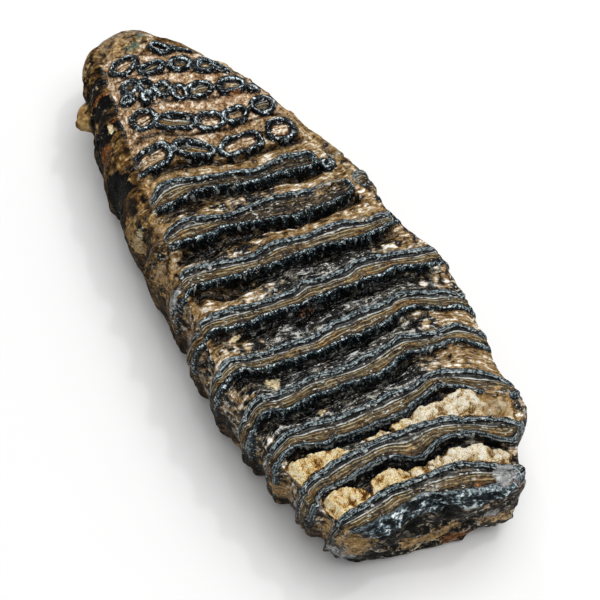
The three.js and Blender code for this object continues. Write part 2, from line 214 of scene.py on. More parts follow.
# Toward the narrow end the plates are still split into rings of enamel:
# x, y, half length, half width and degrees the length is turned from the y axis
rings = [
    [(-83.3, 0.5, 3.9, 2.8, 0)], [(-82.3, 12.8, 3.2, 1.6, 60)], [(-79.6, 16.8, 1.9, 1.0, 60)],
    [(-77.4, 19.3, 1.8, 0.9, 60)], [(-75.6, -2.6, 2.2, 2.0, 0)], [(-77.2, 6.6, 3.7, 2.0, 12)],
    [(-73.2, 14.2, 3.1, 2.2, 35)], [(-68.4, 19.5, 2.5, 2.1, 30)], [(-65.2, 23.6, 2.7, 1.1, 60)],
    [(-71.8, -5.7, 1.7, 1.5, 0)], [(-72.2, 1.0, 1.8, 2.7, 0)], [(-68.6, -1.0, 1.5, 1.6, 0)],
    [(-68.1, 4.7, 2.0, 2.5, 0)], [(-64.0, 8.1, 2.0, 2.4, 0)], [(-61.6, 13.3, 3.8, 2.4, 15)],
    [(-57.7, 22.2, 3.7, 2.6, 22)], [(-53.3, 27.1, 1.2, 1.3, 0)], [(-62.7, -5.7, 3.5, 3.4, 0)],
    [(-56.2, 1.1, 5.9, 2.6, 42)], [(-49.9, 9.4, 4.0, 2.9, 25), (-47.8, 16.8, 3.6, 2.4, 5)],
    [(-46.2, 25.8, 3.3, 2.9, 20)], [(-49.8, -11.3, 6.0, 3.5, 0)], [(-44.9, 0.2, 5.9, 2.4, 48)],
    [(-38.2, 12.4, 6.2, 3.0, 12)], [(-35.9, 24.9, 3.9, 3.6, 20)], [(-18.5, 29.7, 1.3, 1.5, 0)],
]

# Sand cemented between the last plates: the plate in front of it, how high it stands,
# and its outline as y and the share of the gap
sandPockets = [
    {"behind": 11, "rise": 0.3, "outline": [(-36, 0.05), (-31, 0.25), (-27, 0.3), (-21, 0.35),
                                            (-18, 0.95), (-36, 0.95)]},
    {"behind": 11, "rise": 0.2, "outline": [(-14, 0.5), (-9, 0.3), (-6, 0.8), (-13, 0.95)]},
    {"behind": 11, "rise": 0.5, "outline": [(-6, 0.4), (0, 0.3), (8, 0.25), (16, 0.1), (27, 0.2),
                                            (26, 1), (-5, 1)]},
    {"behind": 12, "rise": 1, "outline": [(-36.5, 0.35), (-32, 0.15), (-26, 0.12), (-22, 0.5),
                                          (-20.8, 1), (-37, 1)]},
    {"behind": 12, "rise": 1, "outline": [(-21, 0.75), (-18, 0.4), (-12, 0.3), (-9.5, 0.75), (-9, 1),
                                          (-20.6, 1)]},
    {"behind": 12, "rise": 0.4, "outline": [(-9.5, 0.6), (-3, 0.5), (-2, 0.95), (-9.5, 0.95)]},
    {"behind": 12, "rise": 0.7, "outline": [(-3, 0.45), (3, 0.35), (9, 0.35), (13, 0.45), (17, 0.5),
                                            (15, 1), (-2, 1)]},
]

# Lone stains on the chewing face, of each kind: x, y, reach along x and y, strength. The white ones on the
# last plate are painted glints.
stains = {
    "rust": [(44.2, -16.5, 0.9, 0.9, 0.8), (17, -3.5, 1.2, 2.5, 0.4), (33, -8.5, 1, 1, 0.5),
             (28, -36, 1.4, 3, 0.7), (11, -35, 1.2, 3, 0.6), (-83, -9, 1.8, 3, 0.6),
             (-67, -12.5, 2, 1.4, 0.6), (-54, 21, 1.2, 5, 0.6), (68, 23, 3, 3.5, 0.4),
             (85, 4.5, 1.6, 2.2, 0.5), (79.5, 1.5, 0.8, 4, 0.4), (61, -35, 1.6, 2, 0.8),
             (90.5, 11, 1.6, 3, 0.9)],
    "cream": [(29, -23.8, 2.2, 2.4, 1), (11.8, -24.5, 0.8, 2, 1), (43.8, -18, 1.3, 1.4, 0.8)],
    "green": [(-88.8, 6.5, 1.8, 3.2, 0.8), (-91.5, 11, 1.5, 1.5, 0.7)],
    "white": [(79, -7, 0.5, 6, 0.35), (83, 2, 0.5, 4, 0.35)],
    "grey": [(87, 11.5, 3.2, 4.2, 1)],
    "ochre": [(69.5, 22, 4.5, 6, 0.75), (-94, 4, 6, 8, 0.6), (-43, -19, 2.2, 4, 0.7),
              (-30, -24, 2.2, 4.5, 0.8), (-17, -28, 2.6, 4, 0.9), (-1, -32, 2.4, 4.5, 0.8),
              (13.5, -34, 2, 4, 0.7), (28, -35.5, 2, 3, 0.6), (-45, 32, 16, 2.2, 0.9),
              (-12, 26, 2, 6, 0.5), (2, 30, 2, 6, 0.5)],
}
# Stains on the left wall: place along the plates, mm down the wall, reach of each, strength
wallStains = {
    "rust": [(1.9, 6, 0.12, 5, 0.8), (3.3, 14, 0.2, 6, 0.7), (2.9, 3, 0.1, 3, 0.6),
             (7.75, 14, 0.2, 8, 0.6), (11.2, 8, 0.1, 6, 0.5)],
    "cream": [(3.05, 5.5, 0.1, 1.5, 1), (5.45, 16, 0.08, 8, 0.8)],
    "white": [(7.25, 6, 0.1, 2, 0.5)],
    "grey": [(7.2, 8, 0.22, 6, 0.9), (13.25, 25, 0.25, 6, 0.8)],
    "black": [(2.5, 9, 0.25, 8, 1), (4.3, 20, 0.6, 12, 0.8), (4.8, 9.5, 0.2, 4, 0.9),
              (5.62, 14, 0.1, 9, 0.9), (9.45, 21, 0.2, 5, 1), (10.35, 24, 0.3, 5, 0.9),
              (12.35, 18, 0.15, 7, 0.9), (13, 12, 0.06, 10, 0.9), (13.4, 30, 0.3, 4, 0.8)],
    "ochre": [(5.15, 19, 0.45, 8, 0.7), (11.5, 19, 0.25, 5, 0.8), (12.75, 14, 0.2, 8, 0.8),
              (13.33, 9, 0.08, 9, 1), (0.6, 12, 0.3, 8, 0.5), (6.6, 10, 0.3, 14, 0.5)],
}
# Stains on the broken end: y, z, reach along y and z, strength. The black patch at y -20, z 24 is painted
# shade in a hollow.
endStains = {
    "rust": [(0, 6, 6, 3, 0.8), (13, 33, 2, 4, 1)],
    "cream": [(-10, 6, 6, 2, 0.6)],
    "white": [(6, 17, 1.5, 1.5, 0.8)],
    "grey": [(5.6, 19, 3, 4, 1), (-33, 12, 4, 8, 0.8)],
    "black": [(-20, 24, 7, 8, 0.6), (-5, 28, 6, 4, 0.7), (-25, 10, 8, 5, 0.7)],
    "ochre": [(-30.5, 26, 5.5, 9, 1), (-8, 15, 12, 5, 1), (9, 14, 5, 3, 0.7), (5, 28, 4, 3, 0.4)],
}
# How plainly the enamel shows down each wall, and how tan the wall is below a plate and behind it. On the
# right wall, which faces the lamps, the high tan toward the narrow end is partly painted light.
wallTone = {
    "left": {"show": [0, 0, 0, 0, 0, .15, .3, .6, .9, 1, 1, 1, 1, .9],
             "plate": [.3, .05, .05, .05, .05, .6, .6, .5, .5, .4, .4, .4, .4, .4],
             "gap": [.95, .95, .95, .95, .8, .95, .9, .8, .8, .8, .7, .8, .8, .8]},
    "right": {"show": [.15, .15, .15, .15, .2, .5, .9, 1, 1, 1, 1, 1, 1, 1],
              "plate": [.95, .95, .95, .95, .9, .7, .4, .3, .3, .4, .4, .4, .4, .4],
              "gap": [.95, .95, .95, .95, .95, .9, .9, .8, .8, .8, .8, .9, .9, .9]},
}

toothRelief = {
    "enamelHalf": 0.76,                    # half width of an enamel band
    "enamelVary": 0.22,                    # how much that width changes along the band
    "enamelSquare": 3.2,                   # higher makes a band flatter on top
    "enamelRise": 0.95,
    "beads": 0.35,                         # how lumpy the bands are
    "thinnestPlate": 1.6,
    "plateEnd": 3.5,                       # radius that a plate's two bands join in
    "plateSquare": 2.4,                    # 2 joins them in a half circle, more is boxier
    "ringSquare": 2.3,
    "ringWiden": 0.3,                      # how much wider the bands of split rings are
    "ringWobble": 0.45,
    "dentineDrop": 0.5,
    "streaks": 0.3,                        # ridges along the dentine
    "ribbonRise": 0.45,                    # how far a golden ribbon bulges between its bands
    "wander": 0.4,                         # how far the lines stray from their stations
    "ribRise": 1.0,                        # ribs that the plates make down the walls
    "rib": ([0, 0.2, 0.4, 0.55, 0.8, 1], [0.6, 1.2, 0.6, -1, -1, 0.6]),    # their shape over a pitch
    "edgeRibs": 0.9,                       # how much of them shows at the edge of the chewing face
    "edgeFall": 0.8,                       # how far that edge is worn down
    "sideRibs": {"left": 1.0, "right": 0.45},
    "shoulder": 1.3,                       # how much deeper the grooves between them are at the top
    "lumps": 0.7,
    "wallStreaks": 0.4,
    "wallCracks": 0.8,
    "wallEnamel": (0.75, 0.9),             # rise and half width of the enamel that shows down the walls
    "rough": 0.45,
    "endRough": (1.9, 0.8),                # coarse and fine lumps of the broken end
    "endCracks": 1.4,
    "hollow": 0.8,                         # how unevenly the underside is broken
    "cementLevel": 0.35,                   # how far the cement lies below the enamel
    "tipDrop": 0.3,                        # drop of the cement before the first plate
    "dropScale": 1.25,                     # on the drops of all the plates
    "shallowSide": 0.85,                   # how much the last hollows are filled toward the right
    "narrowSide": 0.45,                    # how much shorter the first hollows are toward the right
    "sandGap": 9.0,                        # length of a gap that the outlines of sand are drawn for
    "sandRagged": 1.3,                     # how far the real edge strays from an outline
    "sandSunk": 1.7,                       # level between the crumbs, below the height of a pocket
    "sandCrumbs": 1.7,                     # how high they stand
    "crumbSize": (2.9, 1.5),
    "sandClefts": 1.3,
}
sideKnob = {"at": (-81.5, 24), "radius": 4.2, "rise": 5.0, "towards": (-0.2, -0.95)}
firstRing = 20                             # the split rings are numbered on from here
idScale = 7                                # keeps the noise of one plate apart from that of the next
ringSpread = 1.3                           # how much further a ring's tones reach than a plate's
offBand = 9                                # stands for the distance to a band where there is none
underDown = 30                             # mm down the walls that the underside counts as


def grain(x, y, z, size, seed):            # smooth lattice noise from -1 to 1
    cells = [np.asarray(v, dtype=float) / size + 1000.0 for v in (x, y, z)]
    low = [np.floor(c).astype(np.int64) for c in cells]
    part = [c - l for c, l in zip(cells, low)]
    part = [p * p * (3 - 2 * p) for p in part]
    total = 0.0
    for corner in itertools.product((0, 1), repeat=3):
        code = seed * 374761393
        for axis, factor in enumerate((73856093, 19349663, 83492791)):
            code = code + (low[axis] + corner[axis]) * factor
        code = (code ^ (code >> 13)) * 1274126177
        code = (code ^ (code >> 16)) & 0xFFFF
        weight = 1.0
        for axis in range(3):
            weight = weight * (part[axis] if corner[axis] else 1 - part[axis])
        total = total + weight * (code / 32767.5 - 1)
    return total


def layers(x, y, z, size, seed, count=3):  # the same noise at ever smaller sizes
    total = 0.0
    for step in range(count):
        total = total + grain(x, y, z, size / 2 ** step, seed + step) / 2 ** step
    return total


def fold(x, y, z, size, seed, count, sharpness):    # 1 along winding lines and 0 away from them
    return np.maximum(0, 1 - sharpness * np.abs(layers(x, y, z, size, seed, count)))


def ease(low, high, value):                # smooth step from 0 at low to 1 at high
    t = np.clip((value - low) / (high - low), 0, 1)
    return t * t * (3 - 2 * t)


def readLine(line, x):                     # running mean, so that stations leave no corner
    return sum(np.interp(x + step, line[0], line[1]) for step in (-2, -1, 0, 1, 2)) / 5


def fullness(x):                           # 0 at the tip, 1 past its rounding
    tipX, length, blunt = tooth["tip"][0], tooth["tipLength"], tooth["tipBlunt"]
    short = np.clip((tipX + length - x) / length, 0, 1)
    return (1 - short ** blunt) ** (1 / blunt)


def outlineY(line, x):                     # an outline, closed round at the tip
    return tooth["tip"][1] + (readLine(line, x) - tooth["tip"][1]) * fullness(x)


def faceZ(x):
    rise = readLine(tooth["faceHeight"], x) - tooth["tip"][2]
    return tooth["tip"][2] + rise * fullness(x) ** tooth["tipTopBlunt"]


def footZ(x):
    return tooth["tip"][2] * (1 - fullness(x))


gridReach, gridStep = 60, 0.25
gridBlur = 6                               # steps that the lines are softened over
halvings = 26
acrossGrid = np.arange(-gridReach, gridReach + gridStep / 2, gridStep)


def softened(values, reach):               # gaussian mean along the grid across the tooth
    steps = np.arange(-reach * 2, reach * 2 + 1)
    weights = np.exp(-(steps / reach) ** 2)
    padded = np.pad(values, reach * 2, mode="edge")
    return np.convolve(padded, weights / weights.sum(), mode="valid")


def bandOnGrid(number, side, seed):        # x of a band of a plate at each y of the grid
    line = softened(np.interp(acrossGrid, *plates[number][side]), gridBlur)
    return line + toothRelief["wander"] * layers(acrossGrid, number * 37, 0.5, size=4, seed=seed)


farLines = np.array([bandOnGrid(number, "far", 11) for number in range(lastPlate + 1)])
nearLines = np.array([bandOnGrid(number, "near", 17) for number in range(lastPlate + 1)])
nearLines = np.maximum(nearLines, farLines + toothRelief["thinnestPlate"])


def readGrid(table, number, y):            # x of a plate's band at y
    spot = np.clip((y - acrossGrid[0]) / gridStep, 0, len(acrossGrid) - 1.001)
    cell = spot.astype(int)
    part = spot - cell
    return table[number, cell] * (1 - part) + table[number, cell + 1] * part


def ringX(place, y):                       # a place of 3.2 is the middle of the fourth plate
    place, y = np.broadcast_arrays(np.asarray(place, float), np.asarray(y, float))
    number = np.floor(place).astype(int)
    part = place - number
    here = np.clip(number, 0, lastPlate)
    ahead = np.clip(number + 1, 0, lastPlate)
    far, near = readGrid(farLines, here, y), readGrid(nearLines, here, y)
    start = np.where(number < 0, tooth["tip"][0], near)
    after = readGrid(farLines, ahead, y)
    after = np.where(number >= lastPlate, start + endGap, after)
    onPlate = far + (near - far) * part / plateShare
    inGap = start + (after - start) * (part - plateShare) / (1 - plateShare)
    return np.where((number >= 0) & (part <= plateShare), onPlate, inGap)


def ringEdge(places, line, side):          # y where each ring meets an outline, found by halving
    inside = np.full(len(places), float(tooth["tip"][1]))
    outside = np.full(len(places), float(side * gridReach))
    for _ in range(halvings):
        y = (inside + outside) / 2
        clear = (outlineY(line, ringX(places, y)) - y) * side > 0
        inside = np.where(clear, y, inside)
        outside = np.where(clear, outside, y)
    return (inside + outside) / 2


def plateLoop(number, x, y, closed=True):  # signed distance to a plate's enamel, and -1 to 1 across it
    far, near = readGrid(farLines, number, y), readGrid(nearLines, number, y)
    slope = (readGrid(farLines, number, y + 1) - readGrid(farLines, number, y - 1)) / 2
    slant = 1 / np.sqrt(1 + slope ** 2)
    half = (near - far) / 2 * slant
    off = (x - (far + near) / 2) * slant
    away, across = np.abs(off) - half, off / half
    if not closed:
        return away, across
    power = toothRelief["plateSquare"]
    for plate in np.unique(number):
        ends = plates[plate]["ends"]
        rows = number == plate
        if ends is None:
            away = np.where(rows, farAway, away)
            continue
        low, high = ends
        middle, reach = (low + high) / 2, (high - low) / 2
        radius = np.minimum(half, toothRelief["plateEnd"])
        beyond = np.maximum(0, np.abs(y - middle) - (reach - radius)) / radius
        level = (beyond ** power + np.abs(across) ** power) ** (1 / power)
        rounded = np.where(beyond > 0, (level - 1) * radius, away)
        away = np.where(rows, rounded, away)
    return away, across


def ringLoop(x, y):                        # the same for the split rings, and the number of the ring
    best, across, number = np.full(x.shape, farAway), np.zeros(x.shape), np.zeros(x.shape)
    wobble, power = toothRelief["ringWobble"], toothRelief["ringSquare"]
    wx = x + wobble * layers(x, y, 3, size=3.5, seed=31, count=2)
    wy = y + wobble * layers(x, y, 7, size=3.5, seed=33, count=2)
    for count, parts in enumerate(rings):
        for middleX, middleY, length, width, turned in parts:
            s, c = math.sin(math.radians(turned)), math.cos(math.radians(turned))
            u = (wy - middleY) * c + (wx - middleX) * s
            v = (wx - middleX) * c - (wy - middleY) * s
            au, av = np.abs(u / length) + tiny, np.abs(v / width) + tiny
            level = (au ** power + av ** power) ** (1 / power)
            steep = np.hypot(au ** (power - 1) / length, av ** (power - 1) / width) * level ** (1 - power)
            away = (level - 1) / steep
            closer = away < best
            best = np.where(closer, away, best)
            across = np.where(closer, v / width, across)
            number = np.where(closer, firstRing + count, number)
    return best, across, number


def ringPlaces():                          # the place of every ring of the mesh along the tooth
    tipRings = tooth["tipRings"]
    tipSteps = (np.arange(1, tipRings + 1) / (tipRings + 1)) ** tooth["tipCrowding"]
    places = list(plateShare - 1 + tipSteps * (1 - plateShare))
    for number in range(lastPlate + 1):
        places += [number + part for part in np.linspace(0, plateShare, tooth["plateRings"])]
        if number < lastPlate:
            places += [number + part for part in tooth["gapParts"]]
    return np.array(places)


def insidePolygon(outline, u, v):          # signed distance into a closed outline
    distance = np.full(u.shape, farAway)
    inside = np.zeros(u.shape, bool)
    for (u0, v0), (u1, v1) in zip(outline, outline[1:] + outline[:1]):
        du, dv = u1 - u0, v1 - v0
        t = np.clip(((u - u0) * du + (v - v0) * dv) / (du * du + dv * dv), 0, 1)
        distance = np.minimum(distance, np.hypot(u - u0 - t * du, v - v0 - t * dv))
        inside ^= ((v0 > v) != (v1 > v)) & (u < (v - v0) * du / (dv or tiny) + u0)
    return np.where(inside, distance, -distance)


def sandAt(number, share, x, y):           # 0 to 1 where sand fills the cement, and how high it stands
    total, rise = np.zeros(x.shape), np.zeros(x.shape)
    gap = toothRelief["sandGap"]
    ragged = toothRelief["sandRagged"] * layers(x, y, 3, size=3.6, seed=61)
    for pocket in sandPockets:
        outline = [(along, part * gap) for along, part in pocket["outline"]]
        depth = insidePolygon(outline, y + ragged, share * gap + ragged)
        amount = ease(-0.35, 0.25, depth) * (number == pocket["behind"])
        rise = np.where(amount > total, pocket["rise"], rise)
        total = np.maximum(total, amount)
    return total, rise


def crumbs(x, y, size, seed):              # rounded crumbs about as wide as size, 0 to 1 high
    stray, reach = 0.45, 0.72              # how far they stray from their cells, and their radius
    cellX, cellY = np.floor(x / size), np.floor(y / size)
    nearest = np.full(x.shape, farAway)
    for stepX, stepY in itertools.product((-1, 0, 1), repeat=2):
        cornerX, cornerY = cellX + stepX, cellY + stepY
        middleX = (cornerX + 0.5 + stray * grain(cornerX, cornerY, 0, size=1, seed=seed)) * size
        middleY = (cornerY + 0.5 + stray * grain(cornerX, cornerY, 5, size=1, seed=seed)) * size
        nearest = np.minimum(nearest, np.hypot(x - middleX, y - middleY) / size)
    return np.sqrt(np.clip(1 - (nearest / reach) ** 2, 0, 1))


def nearerPlate(number, x, y, closed=True):    # plateLoop of the closer of two plates, and its number
    here, ahead = np.clip(number, 0, lastPlate), np.clip(number + 1, 0, lastPlate)
    hereLoop, hereAcross = plateLoop(here, x, y, closed)
    aheadLoop, aheadAcross = plateLoop(ahead, x, y, closed)
    hereLoop = np.where(number < 0, farAway, hereLoop)
    aheadLoop = np.where(number >= lastPlate, farAway, aheadLoop)
    closer = hereLoop < aheadLoop
    return (np.where(closer, hereLoop, aheadLoop), np.where(closer, hereAcross, aheadAcross),
            np.where(closer, here, ahead).astype(float))


def plateValues(key):
    return np.array([plate[key] for plate in plates])


def cementFloor(number, share, x, y, room):    # its height, how hollow it is, and how sandy, the last lowered between the crumbs for painted shade
    here = np.clip(number, 0, lastPlate)
    depth = np.where(number < 0, toothRelief["tipDrop"], plateValues("drop")[here])
    depth = depth * np.clip(1 + 0.5 * layers(x * 0.4, y, 0, size=8, seed=91, count=2), 0.4, 1.5)
    reach = plateValues("recess")[here] * (1 + 0.4 * layers(x * 0.4, y, 2, size=6, seed=97, count=2))
    reach = reach * (1 - toothRelief["narrowSide"] * ease(-14, 4, y) * (number < 8))
    ragged = 1.2 * layers(x, y, 4, size=4, seed=107)
    deep = ease(0, 0.13, share) * (1 - ease(reach - 0.1, reach + 0.3, share))
    deep = deep * (1 - toothRelief["shallowSide"] * ease(10, 22, y) * (number > 8))
    deep = deep * ease(0.3, 3.2, room + ragged)
    floor = -toothRelief["dropScale"] * depth * deep - toothRelief["cementLevel"]

    sand, sandRise = sandAt(number, share, x, y)
    stray = 0.6 * layers(x, y, 9, size=2, seed=105, count=2)
    large, small = toothRelief["crumbSize"]
    clump = crumbs(x + stray, y - stray, large, 95) + 0.35 * crumbs(x - stray, y, small, 99)
    cleft = fold(x, y, 12, size=5, seed=113, count=2, sharpness=7)
    top = sandRise - toothRelief["sandSunk"] + toothRelief["sandCrumbs"] * clump
    top -= toothRelief["sandClefts"] * cleft
    floor = floor * (1 - sand) + sand * top
    # painted shade: the sand value drops between the crumbs and in the clefts, which darkens the sand
    # colour there
    sand = sand * (0.65 + 0.35 * ease(0.4, 1.2, clump)) * (1 - 0.15 * cleft)
    floor += toothRelief["rough"] * layers(x, y, 5, size=2.4, seed=101) * (1 - 0.7 * sand)
    return floor, deep * (1 - sand), sand


def faceRelief(places, x, y, room):        # height of the relief of the chewing face, and what lies there
    number = np.clip(np.floor(places).astype(int), -1, lastPlate)
    share = np.clip((places - number - plateShare) / (1 - plateShare), 0, 1)
    loop, across, plateId = nearerPlate(number, x, y)
    splitLoop, splitAcross, splitId = ringLoop(x, y)
    split = splitLoop < loop
    loop, across = np.where(split, splitLoop, loop), np.where(split, splitAcross, across)
    plateId = np.where(split, splitId, plateId)

    vary = toothRelief["enamelVary"] * layers(x, y, 0, size=3.2, seed=73, count=2)
    half = toothRelief["enamelHalf"] * (1 + vary) * (1 + toothRelief["ringWiden"] * split)
    band = np.exp(-np.abs(loop / half) ** toothRelief["enamelSquare"])
    high = toothRelief["enamelRise"] * (1 + 0.35 * layers(x, y, 0, size=5, seed=75))
    high = high * (1 + 0.2 * np.sign(across))
    bead = toothRelief["beads"] * layers(x, y * 0.7, 0, size=1.5, seed=71, count=2)
    rise = band * (high + bead * (1 - 0.6 * (across > 0.3) * (1 - split)))

    ribbon = ease(-1.0, -2.0, loop) * ease(-0.5, 0.1, across) * (1 - split)
    dentine = toothRelief["ribbonRise"] * ribbon - toothRelief["dentineDrop"]
    streaks = layers(across * 2.2, y * 0.12, plateId * 9.1, size=0.8, seed=81, count=2)
    dentine += toothRelief["streaks"] * streaks
    rise += ease(0.1, -0.9, loop) * (1 - band) * dentine

    floor, recess, sand = cementFloor(number, share, x, y, room)
    rise += ease(-0.3, 0.6, loop) * (1 - band) * floor

    gold, cement = np.zeros(x.shape), np.ones(x.shape)
    for count, plate in enumerate(plates):
        gold = np.where(plateId == count, np.interp(y, toneStations, plate["gold"]), gold)
        cement = np.where(number == count, np.interp(y, toneStations, plate["cement"]), cement)
    gold = np.where(split, 0.3 + 0.3 * grain(plateId, 0, 0, size=1, seed=7), gold)
    return {"rise": rise, "loop": np.where(split, loop / ringSpread, loop), "across": across,
            "plateId": plateId, "sand": sand, "gold": gold, "cement": cement, "recess": recess}


def wallRib(places):                       # the plates stand out as ribs down the walls
    ribs = np.interp(places - np.floor(places), *toothRelief["rib"])
    return ribs * toothRelief["ribRise"] * ease(-0.6, 1.0, places) * np.interp(places, [4, 6], [-0.6, 1])


def wallArc(x, edgeY, bulgeY, footY, bulgeZ, turn):    # from the edge of the face out and down to the foot
    side, top = np.sin(turn), np.cos(turn)
    widest = footZ(x) + (bulgeZ - footZ(x)) * fullness(x)
    power = tooth["square"]
    upper = widest + (faceZ(x) - widest) * np.abs(top) ** power
    lower = widest + (footZ(x) - widest) * np.abs(top) ** power
    inner = np.where(top > 0, edgeY, footY)
    return inner + (bulgeY - inner) * side ** power, np.where(top > 0, upper, lower)


def wallColours(side, places):             # how plain the enamel is on the wall, and how tan it is
    tone, part = wallTone[side], places - np.floor(places)
    number = np.clip(np.floor(places).astype(int), 0, lastPlate)
    tables = {key: np.array(values, float)[number] for key, values in tone.items()}
    onGap = ease(0.3, 0.5, part) * (1 - 0.5 * ease(0.9, 1.0, part))
    return tables["show"], tables["plate"] * (1 - onGap) + tables["gap"] * onGap


def endLean(y, z):                         # the broken end leans in or out toward its foot
    return np.interp(y, *tooth["endLean"]) * (1 - np.clip(z / tooth["leanHeight"], 0, 1))


def column(values):
    return values[:, None]


def plainPart(x, down, along):             # what a part off the chewing face starts from
    zero = 0 * x
    return {"loop": zero + offBand, "across": zero, "plateId": zero, "sand": zero, "gold": zero,
            "cement": zero + 0.5, "recess": zero, "wall": zero + 1, "down": zero + down,
            "along": along, "show": zero}


def chewingFace(rows, left, right):        # x, y, z and looks of its spots, a row for each ring
    spread = np.linspace(0, 1, tooth["faceColumns"])[None, :]
    y = column(left) + column(right - left) * spread
    x = ringX(rows, y)
    full = fullness(x)
    room = np.minimum(y - column(left), column(right) - y)
    face = faceRelief(rows + 0 * y, x, y, room)
    inner = ease(0, 3, room)
    ribs = toothRelief["sideRibs"]
    rib = toothRelief["edgeRibs"] * np.where(spread > 0.5, ribs["right"], ribs["left"]) * wallRib(rows)
    z = faceZ(x) + tooth["crown"] * (1 - (2 * spread - 1) ** 2) * full
    z += face.pop("rise") * full * (0.55 + 0.45 * inner)
    z += (rib * (1 - inner) - toothRelief["edgeFall"] * ease(2.5, 0, room)) * full
    face.update({"x": x, "y": y, "z": z, "along": y, "wall": 1 - ease(-0.5, 1, room), "down": -room,
                 "show": np.ones(x.shape)})
    return face


def toothWall(name, turns, out, seed, rows, edgeY, bulgeY, footY):    # the same for a wall
    turn = np.linspace(*turns, tooth["wallColumns"][name] + 2)[None, 1:-1]
    side, top = np.sin(turn), np.cos(turn)
    x = ringX(rows, column(bulgeY)) + 0 * turn
    y, z = wallArc(x, column(edgeY), column(bulgeY), column(footY), tooth["bulgeHeight"][name], turn)
    full = fullness(x)
    edge = column(edgeY) + 0 * turn
    number = np.clip(np.floor(rows).astype(int), -1, lastPlate) + 0 * turn.astype(int)
    loop, across, plateId = nearerPlate(number, ringX(rows, edge), edge, closed=False)
    stray = layers(x, y * 0.5, z * 0.5, size=7, seed=seed + 3)
    show, tan = wallColours(name, np.clip(rows + 0.3 * stray, -0.9, lastPlate + 0.39))

    lump = toothRelief["lumps"] * layers(x, y * 0.6, z, size=8, seed=seed, count=4)
    lump += toothRelief["wallStreaks"] * layers(x * 1.6, y * 0.4, z * 0.3, size=2.6, seed=seed + 7)
    crack = fold(x, y * 0.4, z * 0.3, size=6, seed=seed + 9, count=2, sharpness=5)
    lump -= toothRelief["wallCracks"] * crack
    high, half = toothRelief["wallEnamel"]
    lump += high * show * np.exp(-np.abs(loop / half) ** 3) * ease(0.2, 0.5, side)
    rib = wallRib(rows) * (0.9 + 0.1 * side) * toothRelief["sideRibs"][name]
    if name == "left":
        deeper = ease(0, 0.5, top) * ease(0.1, 0.5, side) * ease(4, 6, rows)
        rib = rib * (1 + toothRelief["shoulder"] * deeper)
    push = (rib + lump * side) * full * ease(-1.02, -0.6, top)
    y = y + out * push * side
    z = z + push * top - toothRelief["edgeFall"] * full * ease(0.5, 0, side) * (top > 0)

    down = np.abs(y - edge) + faceZ(x) - z
    start = ease(4.5, 0.5, down + 4 * stray) * (rows < 7)
    part = plainPart(x, down, edge + out * down)
    part.update({"x": x, "y": y, "z": z, "loop": loop, "across": across, "plateId": plateId,
                 "show": show, "gold": tan + (1 - tan) * start})
    return part


def underside(rows, leftFoot, rightFoot):
    share = np.linspace(0, 1, tooth["footColumns"])[None, :]
    y = column(rightFoot) + column(leftFoot - rightFoot) * share
    x = ringX(rows, y)
    hollow = np.minimum(0, toothRelief["hollow"] * layers(x, y, 0, size=16, seed=151) + 0.2)
    foot = plainPart(x, underDown, y)
    foot.update({"x": x, "y": y, "z": footZ(x) - hollow * np.sin(math.pi * share)})
    return foot


def growKnob(surface):                     # a round knob on the left wall
    knobX, knobZ = sideKnob["at"]
    away = np.hypot(surface["x"] - knobX, surface["z"] - knobZ) / sideKnob["radius"]
    onKnob = (surface["y"] < tooth["tip"][1]) & (away < 1)
    swell = np.where(onKnob, (1 - np.minimum(away, 1) ** 2) ** 0.5, 0) * sideKnob["rise"]
    surface["x"] = surface["x"] + sideKnob["towards"][0] * swell
    surface["y"] = surface["y"] + sideKnob["towards"][1] * swell
    surface["knob"] = np.where(onKnob, 1 - away, 0.0)


def toothSurface():                        # a ring of spots around the tooth at every place along it
    places = ringPlaces()
    rows = column(places)
    left = ringEdge(places, tooth["leftFaceEdge"], -1)
    right = ringEdge(places, tooth["rightFaceEdge"], 1)
    leftBulge = np.minimum(left - tooth["ledge"], ringEdge(places, tooth["leftWall"], -1))
    rightBulge = np.maximum(right + tooth["ledge"], ringEdge(places, tooth["rightWall"], 1))
    full = fullness(ringX(places, tooth["tip"][1]))

    def inset(line, bulge):
        return (readLine(line, ringX(places, bulge)) + tooth["tipInset"] * (1 - full)) * full

    leftFoot = leftBulge + inset(tooth["leftInset"], leftBulge)
    rightFoot = rightBulge - inset(tooth["rightInset"], rightBulge)
    parts = (chewingFace(rows, left, right),
             toothWall("right", (0, math.pi), 1, 131, rows, right, rightBulge, rightFoot),
             underside(rows, leftFoot, rightFoot),
             toothWall("left", (math.pi, 0), -1, 141, rows, left, leftBulge, leftFoot))
    surface = {key: np.concatenate([part[key] for part in parts], axis=1) for key in parts[0]}
    surface["place"] = rows + 0 * surface["x"]
    lean = endLean(surface["y"], surface["z"])
    surface["x"] = surface["x"] + lean * ease(lastPlate - 1.6, lastPlate + plateShare, rows)
    growKnob(surface)
    return surface


